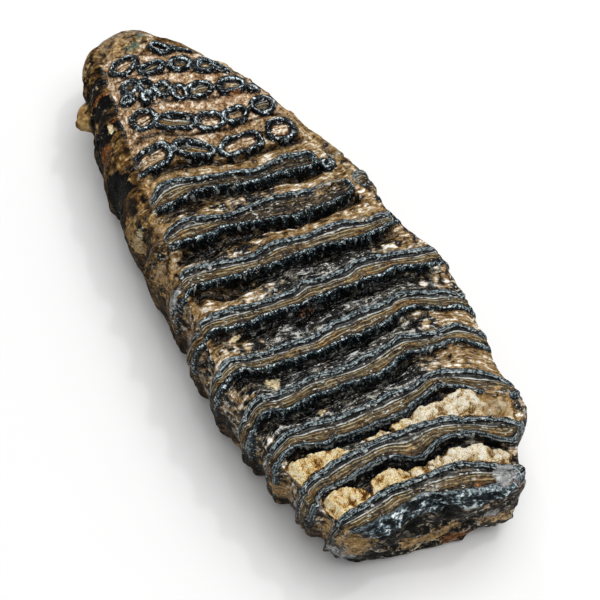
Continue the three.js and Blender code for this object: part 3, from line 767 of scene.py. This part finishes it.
def brokenEnd(surface):                    # rings that close the broad end, each smaller than the last
    last = {key: values[-1] for key, values in surface.items()}
    middleY, middleZ = last["y"].mean(), last["z"].mean() * tooth["endMiddle"]
    coarse, fine = toothRelief["endRough"]
    added = []
    for size in np.concatenate((tooth["rimSizes"], np.linspace(*tooth["endSizes"], tooth["endRings"]))):
        y = middleY + (last["y"] - middleY) * size
        z = middleZ + (last["z"] - middleZ) * size
        rim = ease(0.93, 1.0, size)
        crack = fold(9, y * 0.5, z, size=7, seed=177, count=3, sharpness=4)
        rough = coarse * layers(5, y * 0.7, z, size=8, seed=161, count=5)
        rough += fine * layers(5, y * 0.6, z, size=2.6, seed=167, count=2)
        rough -= toothRelief["endCracks"] * crack
        x = ringX(lastPlate + plateShare + 0 * y, y) + endLean(y, z) + rough * (1 - rim * 0.6)
        x += tooth["endSwell"] * (1 - size ** 2) + tooth["endRim"] * (1 - rim)
        below = last["z"].max() - 1.5 - z + 1.5 * grain(7, y, 0, size=7, seed=173)
        added.append({**last, "x": x, "y": y, "z": z, "recess": crack, "wall": 0 * y,
                      "loop": np.maximum(0.3, below) / 8, "plateId": lastPlate + 0 * y,
                      "endFace": 1 - rim + 0 * y})
    surface["endFace"] = 0 * surface["x"]
    for key in surface:
        surface[key] = np.concatenate((surface[key], np.stack([ring[key] for ring in added])), axis=0)
    return surface


def stainAt(kind, spots):                  # how much a kind of stain covers each spot
    onEnd, onWall = spots["endFace"] > 0.5, (spots["wall"] > 0.5) & (spots["y"] < 0)
    total = np.zeros(spots["x"].shape)
    ragged = 0.3 * layers(spots["x"], spots["y"], spots["z"], size=3, seed=181)
    for table, first, second, here in ((stains, "x", "y", ~onEnd & (spots["wall"] < 0.9)),
                                       (wallStains, "place", "down", onWall & ~onEnd),
                                       (endStains, "y", "z", onEnd)):
        for middleFirst, middleSecond, reachFirst, reachSecond, strength in table.get(kind, []):
            away = np.hypot((spots[first] - middleFirst) / reachFirst,
                            (spots[second] - middleSecond) / reachSecond)
            total = np.maximum(total, strength * ease(1.3, 0.6, away + ragged) * here)
    return total


def makeTooth():                           # a tube with a vertex on every spot, capped at both ends
    surface = toothSurface()
    tubeRings = len(surface["x"])
    surface = brokenEnd(surface)
    surface["z"] = np.maximum(0, surface["z"])
    ringCount, aroundCount = surface["x"].shape
    print("rings", ringCount, "around", aroundCount)

    bm = bmesh.new()
    bmesh.ops.create_cone(bm, cap_ends=False, segments=aroundCount, radius1=1, radius2=1, depth=2)
    lengthEdges = [e for e in bm.edges if abs(e.verts[0].co.z - e.verts[1].co.z) > 1]
    bmesh.ops.subdivide_edges(bm, edges=lengthEdges, cuts=ringCount - 2, use_grid_fill=True)
    tube = np.array([v.co for v in bm.verts])
    ring = np.rint((tube[:, 2] + 1) / 2 * (ringCount - 1)).astype(int)
    turn = np.arctan2(tube[:, 1], tube[:, 0]) / (2 * math.pi) * aroundCount
    around = np.rint(turn - turn[0]).astype(int) % aroundCount
    spots = {key: values[ring, around] for key, values in surface.items()}

    low = [surface[axis].min() for axis in "xyz"]
    high = [surface[axis].max() for axis in "xyz"]
    centreX, centreY = (low[0] + high[0]) / 2, (low[1] + high[1]) / 2
    for v, x, y, z in zip(bm.verts, spots["x"], spots["y"], spots["z"]):
        v.co = ((x - centreX) * mm, (y - centreY) * mm, (z - low[2]) * mm)
    ends = [e for e in bm.edges if e.is_boundary]
    caps = bmesh.ops.holes_fill(bm, edges=ends, sides=0)["faces"]
    bmesh.ops.poke(bm, faces=caps)
    bmesh.ops.recalc_face_normals(bm, faces=bm.faces)
    for face in bm.faces:
        face.smooth = True
    mesh = bpy.data.meshes.new("toothCrown")
    bm.to_mesh(mesh)
    bm.free()
    print("centre", centreX, centreY, "size", high[0] - low[0], high[1] - low[1], high[2] - low[2],
          "triangles", sum(len(p.vertices) - 2 for p in mesh.polygons))

    piece = bpy.data.objects.new("toothCrown", mesh)
    bpy.context.collection.objects.link(piece)
    extra = len(mesh.vertices) - len(ring)

    def store(name, *columns):
        layer = mesh.attributes.new(name, "FLOAT_VECTOR", "POINT")
        values = np.stack(columns, axis=1).astype(np.float32)
        values = np.concatenate((values, np.repeat(values[-1:], extra, axis=0)))
        layer.data.foreach_set("vector", values.ravel())

    kinds = ("rust", "cream", "green", "white", "grey", "black", "ochre")
    stain = {kind: stainAt(kind, spots) for kind in kinds}
    store("band", spots["loop"], spots["along"], spots["plateId"] * idScale)
    store("tone", spots["across"], spots["gold"], spots["cement"])
    store("zone", spots["sand"], spots["recess"], spots["wall"])
    store("tint", stain["rust"], stain["cream"], stain["green"])
    store("patch", stain["white"], stain["grey"], spots["endFace"])
    store("shade", stain["black"], stain["ochre"], spots["show"])
    store("side", spots["place"], spots["down"], spots["knob"])
    addUv(mesh, ring, around, tubeRings, aroundCount, spots)
    return piece, (centreX, centreY)


bakeMap = {
    "across": [0, 0.5, 0.68, 0.82, 1],     # v where the face, right wall, underside and left wall end
    "along": (0.01, 0.87),                 # u of the first and the last ring along the tooth
    "tip": 0.002,
    "end": (0.89, 0.1),                    # u where the broken end starts, and its reach
    "endSize": (90, 42),                   # mm that are laid over v and over that reach
}


def addUv(mesh, ring, around, tubeRings, aroundCount, spots):    # the walls unrolled, the broken end flat
    walls = tooth["wallColumns"]
    counts = (tooth["faceColumns"], walls["right"], tooth["footColumns"], walls["left"])
    marks = np.concatenate(([0], np.cumsum(counts)))
    aroundV = np.interp(np.arange(aroundCount + 1), marks, bakeMap["across"])
    lengthU = np.interp(ring, (0, tubeRings - 1), bakeMap["along"])
    (endU, endReach), (endWidth, endHeight) = bakeMap["end"], bakeMap["endSize"]
    layer = mesh.uv_layers.new(name="OFBake")
    uv = np.zeros((len(mesh.loops), 2), np.float32)
    known = len(ring)
    for polygon in mesh.polygons:
        verts = list(polygon.vertices)
        inner = [v for v in verts if v < known]
        columns = [around[v] for v in inner]
        if max(columns) - min(columns) > 2:
            columns = [c + (aroundCount if c < 2 else 0) for c in columns]
        atEnd = max(ring[v] for v in inner) > tubeRings - 1
        for loop, v in zip(polygon.loop_indices, verts):
            if atEnd:
                spot = v if v < known else inner
                y, z = np.mean(spots["y"][spot]), np.mean(spots["z"][spot])
                uv[loop] = (endU + endReach * z / endHeight, 0.5 + y / endWidth)
            elif v < known:
                uv[loop] = (lengthU[v], aroundV[columns[inner.index(v)]])
            else:
                middle = sum(columns) / len(columns)
                uv[loop] = (bakeMap["tip"], np.interp(middle, range(aroundCount + 1), aroundV))
    layer.data.foreach_set("uv", uv.ravel())


tooth3d, centre = makeTooth()
report("tooth mesh")


# Colours from the darkest to the lightest part of each stuff: (place on the ramp, red, green, blue). The
# near-white top stops of bead, ring, ringDentine, tanCement, pinkCement and brokenFace are painted
# highlights.
stuffColours = {
    "bead": [(.37, .001, .0015, .002), (.46, .006, .01, .013), (.53, .031, .051, .061),
             (.59, .13, .185, .205), (.64, .44, .54, .56), (.69, .92, 1, 1)],
    "ring": [(.36, .001, .0015, .002), (.45, .009, .015, .019), (.515, .039, .06, .07),
             (.58, .14, .19, .215), (.64, .45, .55, .57), (.69, .94, 1, 1)],
    "ringDentine": [(.36, .014, .006, .002), (.455, .1, .046, .014), (.525, .3, .17, .07),
                    (.585, .6, .46, .29), (.655, .98, .94, .85)],
    "amberDentine": [(.4, .02, .008, .002), (.48, .1, .046, .01), (.55, .28, .15, .04),
                     (.62, .55, .38, .16), (.71, .9, .8, .58)],
    "bareDentine": [(.4, .003, .002, .001), (.5, .02, .013, .006), (.57, .09, .06, .028),
                    (.64, .3, .24, .15), (.72, .7, .65, .54)],
    "darkCement": [(.44, .001, .001, .001), (.51, .007, .0065, .0065), (.56, .03, .029, .029),
                   (.61, .13, .13, .127), (.69, .5, .51, .49)],
    "brownCement": [(.4, .002, .002, .0016), (.49, .02, .0185, .0145), (.56, .07, .064, .05),
                    (.63, .2, .188, .155), (.71, .64, .62, .56)],
    "tanCement": [(.32, .012, .005, .001), (.4, .11, .056, .014), (.48, .25, .15, .055),
                  (.55, .38, .26, .125), (.6, .66, .56, .42), (.66, .98, .95, .9)],
    "pinkCement": [(.31, .02, .009, .004), (.385, .15, .075, .03), (.455, .31, .175, .08),
                   (.53, .49, .32, .17), (.6, .74, .6, .44), (.665, 1, .97, .9)],
    "sand": [(.36, .13, .06, .014), (.44, .46, .29, .11), (.51, .72, .54, .29), (.58, .9, .77, .52),
             (.68, 1, .97, .86)],
    "goldSand": [(.36, .1, .035, .005), (.44, .38, .18, .035), (.51, .68, .39, .1),
                 (.58, .92, .66, .26), (.68, 1, .93, .66)],
    "wallCement": [(.36, .002, .0008, .0002), (.43, .022, .0095, .002), (.5, .085, .042, .01),
                   (.57, .19, .105, .03), (.66, .56, .38, .16)],
    "wallGold": [(.36, .03, .012, .003), (.43, .14, .07, .018), (.5, .29, .175, .06),
                 (.57, .44, .3, .13), (.66, .8, .66, .42)],
    "wallBare": [(.44, .0005, .0004, .0003), (.51, .003, .0025, .002), (.57, .014, .011, .0085),
                 (.62, .05, .041, .032), (.7, .34, .3, .25)],
    "brokenFace": [(.42, .0006, .0005, .0004), (.49, .008, .0065, .0045), (.54, .045, .035, .022),
                   (.6, .17, .135, .085), (.68, .6, .55, .46)],
}
# Layers across a plate from its far to its near side, and across its enamel from the inside out; the pale
# stops across the enamel are painted highlights
acrossColours = [(0, .003, .003, .003), (.13, .005, .005, .005), (.17, .4, .41, .39),
                 (.21, .015, .015, .014), (.27, .08, .09, .085), (.32, .85, .88, .83),
                 (.36, .015, .012, .008), (.42, .12, .078, .026), (.46, .6, .5, .3),
                 (.5, .025, .016, .006), (.55, .16, .105, .036), (.6, .05, .032, .011),
                 (.64, .45, .36, .2), (.69, .03, .018, .006), (.75, .2, .125, .04),
                 (.8, .09, .052, .016), (.87, .016, .008, .003), (1, .003, .002, .002)]
enamelColours = [(0, .001, .0015, .002), (.2, .006, .009, .011), (.26, .62, .72, .73),
                 (.33, .018, .027, .033), (.44, .036, .054, .064), (.52, .33, .42, .45),
                 (.6, .015, .023, .029), (.71, .026, .038, .046), (.77, .66, .75, .75),
                 (.84, .008, .011, .014), (1, .001, .001, .0015)]
# How rough each stuff is to light
stuffGloss = {"enamel": 0.1, "dentine": 0.2, "darkCement": 0.14, "tanCement": 0.22, "sand": 0.75,
              "wall": 0.9, "brokenFace": 0.7}
stainColours = {"rust": (.2, .07, .013), "cream": (.78, .62, .36), "green": (.1, .2, .15),
                "white": (.6, .6, .57), "grey": (.32, .33, .33), "black": (.003, .003, .0025),
                "ochre": (.37, .23, .088)}
stainStrength = 0.85
knobColours = {"rim": (.26, .14, .04), "glow": (.5, .33, .13), "heart": (.16, .075, .02)}
# Colours of small marks; the third is painted shade beside the enamel bands and the last is a painted
# glint
lineColours = {"notch": (.006, .007, .008), "split": (.012, .006, .002), "grooveShade": (.003, .002, .002),
               "foot": (.004, .003, .002), "paintedGlint": (.78, .8, .76)}
paintedGlintStrength = 0.7                              # how bright the painted glints are
bumpDepth = 1.0                            # mm
glassiness = 1.24                          # index of refraction


def scaled(colour, gain):
    return tuple(min(1.0, gain * value) for value in colour)


def makeToothMaterial():
    material = bpy.data.materials.new("fossilTooth")
    material.use_nodes = True
    tree = material.node_tree
    shader = tree.nodes["Principled BSDF"]

    def node(kind, settings, *values):
        made = tree.nodes.new(kind)
        for name, value in settings.items():
            setattr(made, name, value)
        for socket, value in values:
            if isinstance(value, bpy.types.NodeSocket):
                tree.links.new(value, made.inputs[socket])
            else:
                made.inputs[socket].default_value = value
        return made

    def sums(operation, a, b=0.0):
        return node("ShaderNodeMath", {"operation": operation}, (0, a), (1, b)).outputs[0]

    def plus(a, b):
        return sums("ADD", a, b)

    def minus(a, b):
        return sums("SUBTRACT", a, b)

    def times(a, b):
        return sums("MULTIPLY", a, b)

    def rest(value):
        return minus(1.0, value)

    def mixed(*shares):                    # a sum of values, each with its share
        total = times(*shares[0])
        for share in shares[1:]:
            total = plus(total, times(*share))
        return total

    def swing(value, reach):               # a noise as a push down and up, over reach from end to end
        return times(minus(value, 0.5), reach)

    def sharp(value, gain):
        return plus(swing(value, gain), 0.5)

    def step(value, low, high):            # smooth step, falling when low is above high
        rises = low < high
        made = node("ShaderNodeMapRange", {"interpolation_type": "SMOOTHSTEP"}, ("Value", value),
                    ("From Min", min(low, high)), ("From Max", max(low, high)),
                    ("To Min", 0.0 if rises else 1.0), ("To Max", 1.0 if rises else 0.0))
        return made.outputs["Result"]

    def blend(amount, a, b):               # of two colours, each a socket or red, green and blue
        a, b = (colour + (1,) if isinstance(colour, tuple) else colour for colour in (a, b))
        return node("ShaderNodeMix", {"data_type": "RGBA"}, (0, amount), (6, a), (7, b)).outputs[2]

    def blendValue(amount, a, b):
        return node("ShaderNodeMix", {"data_type": "FLOAT"}, (0, amount), (2, a), (3, b)).outputs[0]

    def vector(x, y, z):
        return node("ShaderNodeCombineXYZ", {}, (0, x), (1, y), (2, z)).outputs[0]

    def stretched(source, x, y, z):
        made = node("ShaderNodeVectorMath", {"operation": "MULTIPLY"}, (0, source), (1, (x, y, z)))
        return made.outputs[0]

    def noise(source, scale, detail=2.0, rough=0.55, warp=0.0):
        made = node("ShaderNodeTexNoise", {}, ("Vector", source), ("Scale", scale), ("Detail", detail),
                    ("Roughness", rough), ("Distortion", warp))
        return made.outputs["Fac"]

    def parts(name):
        source = node("ShaderNodeAttribute", {"attribute_name": name}).outputs["Vector"]
        return node("ShaderNodeSeparateXYZ", {}, (0, source)).outputs

    def ramp(colours, value):
        made = node("ShaderNodeValToRGB", {}, ("Fac", value))
        stops = made.color_ramp.elements
        while len(stops) < len(colours):
            stops.new(0.5)
        for stop, (place, red, green, blue) in zip(stops, colours):
            stop.position = place
            stop.color = (red, green, blue, 1)
        return made.outputs["Color"]

    def stuff(name, light):
        return ramp(stuffColours[name], light)

    loop, along, plateId = parts("band")
    across, gold, cement = parts("tone")
    sand, recess, wall = parts("zone")
    rust, cream, green = parts("tint")
    white, grey, endFace = parts("patch")
    place, down, knob = parts("side")
    black, ochre, show = parts("shade")
    inMm = 1 / mm
    here = stretched(node("ShaderNodeTexCoord", {}).outputs["Object"], inMm, inMm, inMm)

    coarse = noise(here, 0.16, 3)
    patchy = noise(here, 0.42, 3)
    grains = noise(here, 1.15, 4, 0.65)
    fine = noise(here, 2.6, 3, 0.6)
    chips = noise(here, 3.2, 2, 0.5)
    dents = noise(here, 0.95, 1, 0.5)
    pits = noise(here, 2.1, 0, 0.5)
    bead = noise(stretched(here, 1.0, 1.0, 0.4), 1.25, 1, 0.5, 0.3)
    clouds = mixed((coarse, 0.6), (patchy, 0.4))
    ragged = plus(sums("ABSOLUTE", loop), swing(fine, 0.6))
    onRing = step(plateId, 100.0, 120.0)   # between the ids of the last plate and the first ring

    # enamel: beads across the bands, or broken pale lines along them. The pale lines and the brightest
    # beads are painted highlights; the beads darken toward a band's edges and on the near bands, painted
    # shade.
    inEnamel = step(ragged, 1.0, 0.78)
    wobble = noise(vector(times(loop, 1.2), times(along, 0.3), plateId), 1.0, 3, 0.6)
    lined = ramp(enamelColours, plus(times(plus(loop, 1.0), 0.5), swing(wobble, 0.5)))
    notch = step(mixed((bead, 0.6), (chips, 0.4)), 0.43, 0.53)
    lined = blend(notch, lineColours["notch"], lined)
    isLined = step(plus(plus(plateId, times(across, -22)), swing(patchy, 40.0)), 40.0, 60.0)
    isLined = times(isLined, rest(onRing))

    streak = noise(vector(times(loop, 1.5), times(along, 0.55), plateId), 1.0, 2, 0.6, 0.4)
    # painted shade: the near bands are darker, with fine grit in place of the beads
    onNear = times(step(across, 0.2, 0.8), rest(onRing))
    beadLight = plus(sharp(mixed((streak, 0.65), (bead, 0.35)), 1.65), 0.05)
    beadLight = minus(beadLight, mixed((onRing, 0.06), (onNear, 0.01), (step(ragged, 0.2, 0.8), 0.15)))
    beadLight = minus(beadLight, swing(coarse, 0.3))
    grit = sharp(mixed((noise(here, 2.3, 2, 0.6), 0.7), (streak, 0.3)), 1.7)
    grit = minus(grit, plus(swing(coarse, 0.2), times(step(ragged, 0.1, 0.8), 0.12)))
    beadLight = blendValue(times(onNear, 0.75), beadLight, grit)
    ringLight = minus(sharp(blendValue(0.5, beadLight, grit), 1.5), 0.02)
    beaded = blend(onRing, stuff("bead", beadLight), stuff("ring", ringLight))
    enamelColour = blend(times(isLined, 0.75), beaded, lined)

    # dentine inside the loops: thin layers, the golden ones on the side of the near band
    sway = noise(vector(times(across, 0.8), times(along, 0.16), plateId), 1.0, 4, 0.6)
    fibre = noise(vector(times(across, 5.0), times(along, 0.14), plateId), 1.0, 4, 0.65)
    fibreLight = sharp(mixed((fibre, 0.6), (grains, 0.4)), 1.35)
    layered = ramp(acrossColours, plus(times(plus(across, 1.0), 0.5), swing(sway, 0.3)))
    isCracked = step(mixed((fibreLight, 0.6), (patchy, 0.4)), 0.56, 0.4)
    layered = blend(isCracked, layered, lineColours["split"])
    isBare = step(mixed((coarse, 0.6), (grains, 0.4)), 0.5, 0.6)
    layered = blend(times(isBare, 0.65), layered, stuff("bareDentine", fibreLight))
    isAmber = times(step(clouds, 0.49, 0.39), step(across, -0.5, 0.0))
    layered = blend(times(isAmber, 0.75), layered, stuff("amberDentine", fibreLight))
    # painted shade: a dark line in the dentine along the foot of each enamel band
    grooveShade = step(ragged, 1.6, 1.05)
    fibreLight = plus(minus(fibreLight, times(grooveShade, 0.1)), times(onRing, 0.03))
    ringDentine = stuff("ringDentine", plus(fibreLight, 0.015))
    bare = blend(onRing, stuff("bareDentine", fibreLight), ringDentine)
    isLayered = step(plus(gold, swing(patchy, 0.9)), 0.2, 0.5)
    dentineColour = blend(isLayered, bare, layered)
    dentineColour = blend(times(grooveShade, 0.7), dentineColour, lineColours["grooveShade"])

    # cement between the loops: dark and scratched, or tan with flow lines; darker in the hollows behind
    # the near bands, painted shade
    flow = noise(vector(times(along, 0.22), times(place, 16.0), times(coarse, 3.0)), 1.0, 4, 0.62, 0.6)
    flow = blendValue(step(place, 0.0, 0.4), clouds, flow)
    rock = sharp(mixed((flow, 0.5), (chips, 0.2), (patchy, 0.3)), 2.0)
    # painted shade: darker where the cement lies deep
    rock = minus(plus(rock, 0.025), times(recess, 0.14))
    darkColour = blend(step(coarse, 0.42, 0.56), stuff("darkCement", rock), stuff("brownCement", rock))
    mottle = blendValue(step(place, -0.2, 1.0), mixed((grains, 0.25), (patchy, 0.75)),
                        mixed((grains, 0.55), (patchy, 0.45)))
    tanLight = blendValue(step(place, 3.5, 6.0), mottle, mixed((flow, 0.6), (patchy, 0.4)))
    shadow = mixed((step(loop, 1.6, 0.5), 0.05), (recess, 0.12), (step(place, 0.6, 0.0), 0.06))
    tanLight = minus(sharp(tanLight, 1.5), shadow)
    isPink = times(step(place, 4.5, 3.0), step(place, -0.2, 0.8))
    tanColour = blend(isPink, stuff("tanCement", tanLight), stuff("pinkCement", plus(tanLight, 0.01)))
    # painted shade: the deep hollows take the dark cement in place of tan
    isTan = times(step(plus(cement, swing(patchy, 1.3)), 0.4, 0.65), rest(times(recess, 0.85)))
    cementColour = blend(isTan, darkColour, tanColour)

    sandLight = sharp(mixed((grains, 0.5), (chips, 0.5)), 1.35)
    # painted shade: darker where the sand value was lowered between the crumbs
    sandLight = plus(sandLight, times(minus(sand, 0.825), 0.7))
    isGolden = step(mixed((coarse, 0.5), (patchy, 0.5), (along, -0.007)), 0.47, 0.6)
    sandColour = blend(times(isGolden, 0.9), stuff("sand", sandLight), stuff("goldSand", sandLight))
    isSand = step(plus(sand, swing(fine, 0.3)), 0.3, 0.45)
    cementColour = blend(isSand, cementColour, sandColour)

    # the whole chewing face, with the enamel that shows around the broken end and its painted highlights
    inside = step(loop, 0.0, -0.3)
    faceColour = blend(inside, cementColour, dentineColour)
    endRock = noise(stretched(here, 0.7, 0.45, 1.0), 0.7, 6, 0.7, 0.3)
    endLight = sharp(mixed((grains, 0.25), (patchy, 0.3), (endRock, 0.45)), 2.3)
    # painted shade: darker in the cracks of the broken end
    endLight = minus(endLight, times(recess, 0.12))
    # painted highlights on the enamel of the broken end, from the top of the ring colours
    endEnamel = stuff("ring", minus(sharp(endLight, 1.2), 0.025))
    enamelColour = blend(endFace, enamelColour, endEnamel)
    faceColour = blend(inEnamel, faceColour, enamelColour)

    # walls: the layers of the plates run on down them until cement covers them
    fibreDown = noise(vector(times(place, 6.0), times(down, 0.13), times(coarse, 2.0)), 1.0, 4, 0.62, 0.6)
    wallLight = sharp(mixed((grains, 0.2), (patchy, 0.35), (fibreDown, 0.45)), 1.6)
    # a little darker further down the walls
    wallLight = minus(wallLight, plus(times(step(down, 8.0, 34.0), 0.03), 0.02))
    # gold on the right wall and at the narrow end; on the right wall, which faces the lamps, it is partly
    # painted light
    goldAndLitSide = sums("MAXIMUM", step(along, 3.0, 12.0), step(place, 0.4, -0.5))
    wallCover = blend(goldAndLitSide, stuff("wallCement", wallLight), stuff("wallGold", wallLight))
    wallTan = step(plus(gold, swing(mixed((fibreDown, 0.6), (patchy, 0.4)), 4.0)), 0.3, 0.7)
    wallColour = blend(wallTan, stuff("wallBare", wallLight), wallCover)
    smudge = plus(down, times(minus(plus(patchy, times(grains, 0.5)), 0.75), 34.0))
    showing = times(step(smudge, 30.0, 14.0), show)
    onWall = times(step(plus(wall, swing(patchy, 0.5)), 0.35, 0.65), rest(showing))
    colour = blend(onWall, faceColour, wallColour)
    # darker toward the foot of the walls and on the underside
    colour = blend(times(step(down, 12.0, 27.0), 0.5), colour, lineColours["foot"])
    onEnd = times(step(endFace, 0.3, 0.7), rest(inEnamel))
    colour = blend(onEnd, colour, stuff("brokenFace", plus(endLight, 0.015)))

    # stains, mottled like rock; a few among them are painted glints and painted shade
    crust = sharp(mixed((grains, 0.45), (endRock, 0.55)), 1.7)
    blot = swing(mixed((grains, 0.55), (patchy, 0.45)), 3.0)
    masks = {"rust": rust, "cream": cream, "green": green, "white": white, "grey": grey, "black": black,
             "ochre": ochre}
    for name, mask in masks.items():
        shade = stainColours[name]
        mottled = blend(step(crust, 0.34, 0.5), scaled(shade, 0.22), shade)
        mottled = blend(step(crust, 0.54, 0.68), mottled, scaled(shade, 1.9))
        amount = step(plus(mask, blot), 0.3, 0.9)
        colour = blend(times(amount, stainStrength), colour, mottled)
    skin = blend(step(patchy, 0.4, 0.6), knobColours["rim"], knobColours["glow"])
    heart = blend(step(grains, 0.35, 0.6), scaled(knobColours["heart"], 0.3), knobColours["heart"])
    colour = blend(step(knob, 0.02, 0.12), colour, skin)
    colour = blend(step(knob, 0.4, 0.6), colour, heart)

    # painted glints: pale streaks of highlight on the chewing face past the narrow end
    paintedGlint = noise(vector(times(along, 0.7), times(place, 26.0), times(down, 0.5)), 1.0, 1, 0.5, 0.4)
    paintedGlints = times(step(plus(paintedGlint, swing(coarse, 0.4)), 0.66, 0.74), step(place, 0.2, 1.2))
    for cover in (isSand, times(recess, 0.8), times(onWall, 0.85), endFace):
        paintedGlints = times(paintedGlints, rest(cover))
    colour = blend(times(paintedGlints, paintedGlintStrength), colour, lineColours["paintedGlint"])

    rough = blendValue(isTan, stuffGloss["darkCement"], stuffGloss["tanCement"])
    for amount, name in ((isSand, "sand"), (inside, "dentine"), (inEnamel, "enamel"), (onWall, "wall"),
                         (times(endFace, 0.85), "brokenFace"), (times(step(wall, 0.3, 1.0), 0.8), "wall")):
        rough = blendValue(amount, rough, stuffGloss[name])
    rough = plus(rough, swing(chips, 0.2))

    height = mixed((dents, 1.0), (pits, 0.1), (flow, 0.15))
    for amount, relief in ((inside, mixed((fibre, 0.35), (dents, 0.45))),
                           (inEnamel, mixed((bead, 0.6), (pits, 0.08))),
                           (onWall, mixed((fibreDown, 0.3), (dents, 0.9), (pits, 0.08))),
                           (onEnd, mixed((endRock, 0.9), (dents, 0.7))),
                           (isSand, mixed((dents, 0.4), (fine, 0.8)))):
        height = blendValue(amount, height, relief)
    bump = node("ShaderNodeBump", {}, ("Height", height), ("Distance", bumpDepth * mm), ("Strength", 1.0))

    tree.links.new(colour, shader.inputs["Base Color"])
    tree.links.new(rough, shader.inputs["Roughness"])
    tree.links.new(bump.outputs["Normal"], shader.inputs["Normal"])
    shader.inputs["IOR"].default_value = glassiness
    return material


tooth3d.data.materials.append(makeToothMaterial())
report("material")


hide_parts("mammoth_molar")
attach(tooth3d, "root")


floorLook = {"reach": 3, "colour": (0.9, 0.9, 0.9, 1), "roughness": 0.9}    # reach in m


def addFloor():
    bm = bmesh.new()
    bmesh.ops.create_grid(bm, x_segments=1, y_segments=1, size=floorLook["reach"])
    mesh = bpy.data.meshes.new("floor")
    bm.to_mesh(mesh)
    bm.free()
    floor = bpy.data.objects.new("floor", mesh)
    paper = bpy.data.materials.new("paper")
    paper.use_nodes = True
    shader = paper.node_tree.nodes["Principled BSDF"]
    shader.inputs["Base Color"].default_value = floorLook["colour"]
    shader.inputs["Roughness"].default_value = floorLook["roughness"]
    mesh.materials.append(paper)
    bpy.context.collection.objects.link(floor)


def towards(azimuth, elevation):           # a direction from the tooth: 0, 0 looks out over its left wall
    a, e = math.radians(azimuth), math.radians(elevation)
    return Vector((math.sin(a) * math.cos(e), -math.cos(a) * math.cos(e), math.sin(e)))


# aim is a spot of the tooth in its own mm, distance is in mm
cameraPlace = {"azimuth": 54.4, "elevation": 63.5, "distance": 483, "aim": (7.1, 1.2, 24), "lens": 100,
               "sensor": 36}


def addCamera():
    back = towards(cameraPlace["azimuth"], cameraPlace["elevation"])
    aimX, aimY, aimZ = cameraPlace["aim"]
    aim = Vector((aimX - centre[0], aimY - centre[1], aimZ)) * mm
    data = bpy.data.cameras.new("camera")
    data.lens = cameraPlace["lens"]
    data.sensor_width = cameraPlace["sensor"]
    data.clip_start = 0.01
    camera = bpy.data.objects.new("camera", data)
    camera.location = aim + back * cameraPlace["distance"] * mm
    camera.rotation_euler = back.to_track_quat("Z", "Y").to_euler()
    bpy.context.collection.objects.link(camera)
    bpy.context.scene.camera = camera


# Square lamps that face the tooth, with size and distance in m and power in W
lampDistance = 1.2
lamps = {
    "key": {"azimuth": 152, "elevation": 79, "size": 0.9, "power": 11},
    "glint": {"azimuth": 165, "elevation": 68, "size": 0.06, "power": 1.2},
    "side": {"azimuth": 255, "elevation": 62, "size": 0.06, "power": 0.6},
    "back": {"azimuth": 205, "elevation": 52, "size": 0.5, "power": 1.0},
}
worldLight = {"colour": (1, 1, 1, 1), "strength": 0.36}


def addLamp(name, lamp):
    data = bpy.data.lights.new(name, "AREA")
    data.shape = "SQUARE"
    data.size = lamp["size"]
    data.energy = lamp["power"]
    made = bpy.data.objects.new(name, data)
    out = towards(lamp["azimuth"], lamp["elevation"])
    made.location = out * lampDistance
    made.rotation_euler = out.to_track_quat("Z", "Y").to_euler()
    bpy.context.collection.objects.link(made)


addFloor()
addCamera()
for lampName, lampValues in lamps.items():
    addLamp(lampName, lampValues)
world = bpy.data.worlds.new("studio")
world.use_nodes = True
background = world.node_tree.nodes["Background"]
background.inputs["Color"].default_value = worldLight["colour"]
background.inputs["Strength"].default_value = worldLight["strength"]
bpy.context.scene.world = world
bpy.context.scene.view_settings.view_transform = "Standard"
report("stage")
